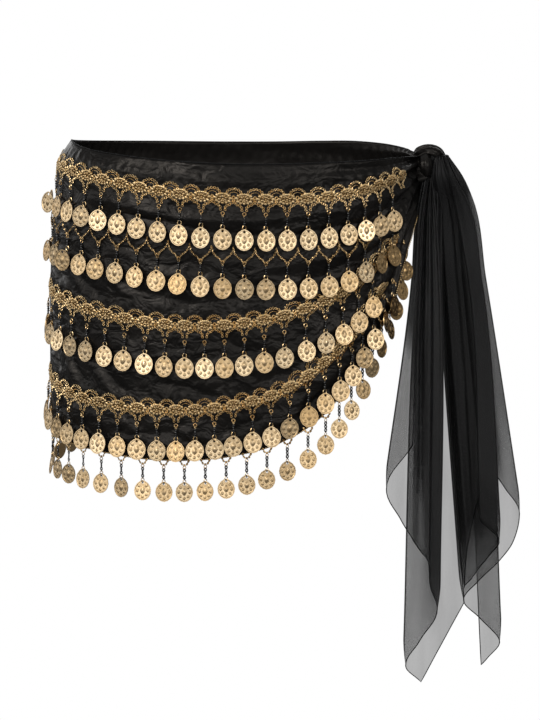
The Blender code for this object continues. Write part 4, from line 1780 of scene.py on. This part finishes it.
@dataclass
class FreeEnd:
    """A sheer free end: one sheet that doubles back on itself at each turn, with a rolled hem."""

    name: str
    node: str
    flat: tuple
    flat_area: float
    heights: tuple
    front_y: tuple
    layer_gap: tuple
    lines: tuple
    wall: float = 0.35
    hem_radius: float = 0.5
    layer_cover: float = 0.345
    head_gathers: float = 4.0
    ripple: float = 2.4
    ripple_reach: float = 26.0
    pleat_share: float = 0.42
    pleat_fade: tuple = ((0.0, 0.2, 1.0), (1.4, 1.2, 0.6))
    steps: tuple = (5, 4, 10, 46)
    fill: int = 7
    turn_share: float = 0.5
    opening: float = 0.08
    edge_gathers: float = 3.0
    corner_ease: float = 1.1
    corner_reach: float = 24.0
    corner_pull: float = 1.4
    corner_from: float = 0.82
    turn_shares: tuple = (0.0, 0.2, 0.4, 0.6, 0.8, 1.0)

    def _line(self, line: FoldLine, layer: int, turn: float, ripple: float, inward: float) -> np.ndarray:
        """Points down one line, from its head to its hem.

        Args:
            line: The line.
            layer: How many layers lie in front of it.
            turn: How far round its turn it is, from 0 to 1.
            ripple: How far it stands behind its layer.
            inward: Which way the sheet lies from it.

        Returns:
            The points, with the gathers as a fourth value.
        """
        places = (*self.heights, line.hem_z)
        spans = (np.linspace(high, low, n + 1)[1:] for high, low, n in zip(places, places[1:], self.steps))
        z = np.concatenate([[places[0]], *spans])
        gap, x = Curve(places, self.layer_gap).at(z), Curve(places, line[:5]).at(z)
        y = Curve(places, self.front_y).at(z) + layer * gap
        y = y + ripple * ramp(-z, -places[0], self.ripple_reach - places[0])
        collar, waist, hem = line.gathers
        fall = line.hem_z - places[3]
        kept, let_go = (places[3] + (line.opens + late) * fall for late in (-self.opening, self.opening))
        depths = (line.hem_z, let_go, kept, places[3], places[2], places[0])
        gathers = np.interp(z, depths, (hem, hem, waist, waist, collar, collar + self.head_gathers))
        if line.turns:
            straight, bulge = ramp(z, line.hem_z, line.hem_z + self.corner_reach), math.sin(math.pi * turn)
            x = x + inward * self.turn_share * gap / 2 * (1.0 - bulge * straight)
            x = x + inward * self.corner_pull * (1.0 - straight) ** 2
            y = y + gap / 2 * (1.0 - math.cos(math.pi * turn))
            gathers = gathers + self.edge_gathers * bulge
        return np.stack([x, y, z, gathers], axis=-1)

    def _grid(self) -> np.ndarray:
        """All the sheet's points: runs of lines between turns and tips, filled with soft pleats.

        Returns:
            The points, with the gathers as a fourth value.
        """
        runs, run, layer, after_turn = [], [], 0, False
        for number, line in enumerate(self.lines):
            neighbour = self.lines[number - 1 if number else 1]
            inward = math.copysign(1.0, neighbour.waist_x - line.waist_x)
            if line.turns:
                turn = [self._line(line, layer, share, 0.0, inward) for share in self.turn_shares]
                runs.append(self._filled([*run, turn[0]], layer, (after_turn, True)))
                runs.append(np.stack(turn[1:-1], axis=1))
                run, layer, after_turn = [turn[-1]], layer + 1, True
                continue
            ripple = 0.0 if line.tip else self.ripple * (1 if number % 2 else -1)
            run.append(self._line(line, layer, 0.0, ripple, inward))
            if line.tip:
                runs.append(self._filled(run, layer, (after_turn, False))[:, :-1])
                run, after_turn = run[-1:], False
        return np.concatenate([*runs, self._filled(run, layer, (after_turn, False))], axis=1)

    def _filled(self, run: Sequence[np.ndarray], layer: int, turns: tuple) -> np.ndarray:
        """A smooth sheet through a run of lines, with soft pleats.

        Args:
            run: The lines.
            layer: The run's layer.
            turns: Whether the cloth turns at its start and at its end, where the hem's corner is rounded.

        Returns:
            The points, with the gathers as a fourth value.
        """
        known = np.stack(run, axis=1)
        places = np.arange(known.shape[1])
        last = places[-1]
        fine = np.linspace(0, last, last * self.fill + 1)
        filled = np.empty((known.shape[0], len(fine), 4))
        for row, column in np.ndindex(known.shape[0], 4):
            filled[row, :, column] = Curve(places, known[row, :, column]).at(fine)
        down = np.linspace(0.0, 1.0, known.shape[0])[:, None]
        depth = self.pleat_share * np.interp(down, *self.pleat_fade) * self.layer_gap[0]
        wave = np.sin(math.pi * fine / last * (2 * last + 1) + 0.9 * layer * down)
        filled[..., 1] += depth * wave * np.sin(math.pi * fine / last) ** 0.5
        low = ramp(down, self.corner_from, 1.0)
        for turns_here, edge, away in zip(turns, (filled[:, :1, 0], filled[:, -1:, 0]), (fine, last - fine)):
            if turns_here:
                near = np.clip(away, 1e-6, 1.0)
                eased = near ** (self.corner_ease * low * (1.0 - near))
                filled[..., 0] = edge + (filled[..., 0] - edge) * eased
        return filled

    def build(self, knot_pieces: Sequence[Piece]) -> None:
        """Args:
            knot_pieces: The knot's pieces that this end runs into. Not used.
        """
        grid = self._grid()
        item = sheet(self.name, grid[..., :3], Finishes.SHEER)
        cover = 1.0 - (1.0 - self.layer_cover) ** (1.0 + np.clip(grid[..., 3], 0.0, None))
        paint(item, "cover", cover.ravel())
        hem = hemmed(item, self.node, self.wall, self.hem_radius)


END_IN_FRONT = FreeEnd(
    "free_end_front",
    "tail_front",
    (0.25, 0.53),
    0.070,
    (-13.0, -40.0, -66.0, -140.0),
    (-4.5, -10.0, -16.0, -31.5, -63.0),
    (2.0, 3.0, 4.2, 6.0, 7.0),
    rows(
        FoldLine,
        (203.0, 194.5, 190.0, 186.0, 180.0, -299.0, (4.0, 1.5, 0.0), 0.36),
        (198.0, 190.0, 184.5, 178.5, 150.8, -344.0, (4.0, 1.2, 0.0), 0.26, True),
        (200.5, 192.5, 187.0, 181.5, 168.0, -374.0, (4.0, 1.5, 0.1), 0.24),
        (201.5, 194.5, 189.5, 184.5, 178.5, -392.0, (4.0, 2.0, 0.1), 0.24),
        (202.0, 195.5, 191.5, 187.0, 181.5, -397.0, (4.0, 3.0, 1.6), 0.80),
        (202.5, 197.0, 194.0, 191.0, 188.0, -407.0, (4.0, 3.0, 0.4), 0.76),
        (203.0, 199.0, 197.0, 196.0, 196.0, -418.0, (4.0, 3.5, 1.6), 0.90),
        (202.5, 198.5, 199.5, 202.0, 198.0, -443.0, (4.0, 4.0, 2.2), 0.90),
        (203.5, 200.5, 203.5, 208.5, 208.2, -466.0, (4.0, 3.0, 0.6), 0.90, True),
        (204.0, 203.0, 200.0, 196.0, 188.0, -498.0, (4.0, 1.0, 0.0), 0.30),
        (200.5, 194.5, 190.5, 184.0, 170.4, -524.0, (4.0, 1.0, 0.0), 0.25, True),
        (202.5, 198.0, 196.0, 190.0, 189.0, -541.0, (4.0, 0.8, 0.0), 0.25, False, True),
        (205.0, 203.0, 203.0, 200.0, 210.0, -501.0, (4.0, 0.5, 0.1), 0.25),
        (208.0, 209.0, 210.0, 211.0, 232.0, -461.0, (4.0, 0.4, 0.1), 0.25),
    ),
)
END_BEHIND = FreeEnd(
    "free_end_back",
    "tail_back",
    (0.45, 0.51),
    0.128,
    (-16.0, -36.0, -60.0, -140.0),
    (-7.0, -9.5, -4.0, -3.0, -17.0),
    (2.0, 2.6, 3.4, 5.0, 6.0),
    rows(
        FoldLine,
        (211.0, 217.0, 222.0, 236.0, 248.0, -381.0, (4.0, 3.0, 0.5), 0.80),
        (213.0, 222.0, 235.0, 250.0, 270.2, -404.0, (4.0, 3.0, 0.2), 0.85, True),
        (211.0, 218.0, 228.0, 240.0, 259.0, -415.5, (4.0, 3.0, 0.2), 0.85),
        (208.5, 211.5, 219.0, 227.5, 248.0, -430.0, (4.0, 2.6, 0.1), 0.82),
        (205.5, 205.5, 210.0, 216.5, 239.5, -441.0, (4.0, 2.2, 0.1), 0.80),
        (202.5, 200.0, 202.0, 206.5, 230.0, -450.0, (4.0, 2.0, 0.1), 0.80, True),
        (211.0, 215.0, 224.0, 236.0, 256.0, -327.0, (4.0, 3.0, 0.8), 0.90),
        (212.0, 218.5, 228.5, 242.5, 262.0, -335.0, (4.0, 3.0, 0.8), 0.90),
        (213.5, 222.0, 231.0, 246.5, 273.0, -350.0, (3.0, 0.7, 0.3), 0.60),
        (216.0, 230.0, 240.5, 254.0, 290.8, -377.0, (0.6, 0.5, 0.2), 0.60, True),
        (213.5, 224.0, 234.0, 249.0, 282.0, -404.0, (1.5, 0.6, 0.0), 0.70),
        (211.5, 218.0, 226.0, 242.0, 268.0, -425.0, (4.0, 1.4, 0.0), 0.70),
        (209.5, 213.0, 219.0, 225.0, 246.0, -446.0, (4.0, 2.0, 0.0), 0.85),
        (203.0, 200.0, 202.0, 206.0, 229.2, -465.0, (4.0, 1.6, 0.0), 0.80, True),
        (209.0, 213.0, 218.0, 223.0, 248.0, -483.0, (4.0, 1.6, 0.1), 0.70),
        (212.0, 221.0, 227.5, 242.0, 265.0, -501.0, (4.0, 1.2, 0.0), 0.70),
        (215.0, 226.5, 236.0, 249.0, 271.4, -509.0, (2.5, 1.0, 0.0), 0.70, True),
        (212.0, 220.0, 226.5, 238.0, 258.0, -524.0, (4.0, 1.0, 0.0), 0.60),
        (210.0, 214.0, 221.0, 229.0, 250.0, -532.0, (4.0, 1.0, 0.0), 0.60),
    ),
)


@dataclass
class Studio:
    """A plain pale floor, soft lights and the camera."""

    aim: tuple = (0.038, 0.0, -0.2219)
    distance: float = 12.0
    elevation: float = 7.5
    frame_width: float = 0.540
    sensor: float = 36.0
    floor_level: float = -0.95
    floor_half: float = 30.0

    def build(self) -> None:
        """Sets up everything that isn't the scarf."""
        self._camera()
        self._floor()
        self._world()
        self._softbox("key", (-1.7, -2.3, 1.7), 1.5, 42.0, (1.0, 0.97, 0.93))
        self._softbox("fill", (2.3, -2.2, 0.9), 1.3, 12.0, (1.0, 0.98, 0.96))
        self._softbox("back_light", (0.9, 2.6, 1.6), 1.5, 34.0, (1.0, 1.0, 1.0))
        bpy.context.scene.view_settings.view_transform = "Standard"
        bpy.context.scene.cycles.transparent_max_bounces = 48

    def _camera(self) -> None:
        """A long lens, level with the hips and a little above."""
        camera = bpy.data.cameras.new("camera")
        camera.sensor_fit = "HORIZONTAL"
        camera.sensor_width = self.sensor
        camera.lens = self.sensor * self.distance / self.frame_width
        item = bpy.data.objects.new("camera", camera)
        rise = math.radians(self.elevation)
        item.location = Vector(self.aim) + Vector((0.0, -math.cos(rise), math.sin(rise))) * self.distance
        item.rotation_euler = (math.pi / 2 - rise, 0.0, 0.0)
        bpy.context.scene.collection.objects.link(item)
        bpy.context.scene.camera = item

    def _floor(self) -> None:
        """The plain pale floor, which the camera sees as white."""
        recipe = Recipe(bpy.data.materials.new("pale_floor"))
        pale = recipe.add("BsdfDiffuse", None, {"Color": (0.85, 0.85, 0.85)})
        glow = recipe.add("Emission", None, {"Color": (1.0, 1.0, 1.0), "Strength": 1.0})
        seen = recipe.add("LightPath", output="Is Camera Ray")
        take()
        bpy.ops.mesh.primitive_plane_add(size=2 * self.floor_half, location=(0.0, 0.0, self.floor_level))
        floor = bpy.context.object
        floor.name = "floor"
        material = recipe.finish("Material", recipe.add("MixShader", None, {0: seen, 1: pale, 2: glow}))
        floor.data.materials.append(material)
        floor.visible_glossy = False

    def _world(self) -> None:
        """White behind the scarf, and a room with a soft bright band for the metal to reflect."""
        recipe = Recipe(bpy.data.worlds.new("room"))
        where = recipe.add("SeparateXYZ", None, {0: recipe.add("TexCoord", output="Generated")})
        height = where.part("Z")
        ahead = recipe.math("ABSOLUTE", where.part("Y")) ** 1.6
        left = recipe.math("MAXIMUM", 0.0 - where.part("X"), 0.0) ** 1.5
        band = height.rising(-0.05, 0.06) * (1.0 - height.rising(0.24, 0.38))
        level = 0.13 + band * (0.12 + 1.65 * ahead + 1.05 * left) + 0.35 * height.rising(0.45, 0.95)
        shown = level + recipe.add("LightPath", output="Is Camera Ray") * (1.0 - level)
        bpy.context.scene.world = recipe.finish("World", recipe.add("Background", None, {"Color": shown}))

    def _softbox(self, name: str, place: tuple, size: float, power: float, colour: tuple) -> None:
        """A square soft light that points at the scarf.

        Args:
            name: Its name.
            place: Where it is, in metres.
            size: Its side, in metres.
            power: Its power, in watts.
            colour: Its colour.
        """
        light = bpy.data.lights.new(name, "AREA")
        light.shape, light.size, light.energy, light.color = "SQUARE", size, power, colour
        item = bpy.data.objects.new(name, light)
        item.location = place
        item.rotation_euler = (Vector(self.aim) - Vector(place)).to_track_quat("-Z", "Y").to_euler()
        bpy.context.scene.collection.objects.link(item)


def main() -> None:
    """Builds the scarf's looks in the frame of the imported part."""
    logging.basicConfig(level=logging.INFO, format="%(name)s %(message)s")
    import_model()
    Studio().build()
    basket = Workbasket()
    front = Stretch(Side.FRONT, FRONT_HEIGHTS, FRONT_CREASES)
    back = Stretch(Side.BACK, BACK_HEIGHTS, BACK_CREASES)
    trimmings = {}
    for stretch in (front, back):
        trimmings[stretch] = [LaceTrim(stretch, seam, ends, basket).build() for seam, ends in LACE_TRIMS]
        trimmings[stretch] += [HangingCoins(stretch, row, basket).build() for row in COIN_ROWS]
    basket.empty()
    throat, band, loop = KNOT_THROAT.build(), KnotBand().build(), KNOT_LOOP.build()
    on_front = [*trimmings[front], throat]
    WornCloth(front, (0.49, 0.31), 0.113).build(on_front, ["knot_throat", "cloth_back"])
    WornCloth(back, (0.49, 0.30), 0.100).build(trimmings[back], ["knot_throat", "cloth_front"])
    END_IN_FRONT.build([band])
    END_BEHIND.build([loop])


if __name__ == "__main__":
    main()
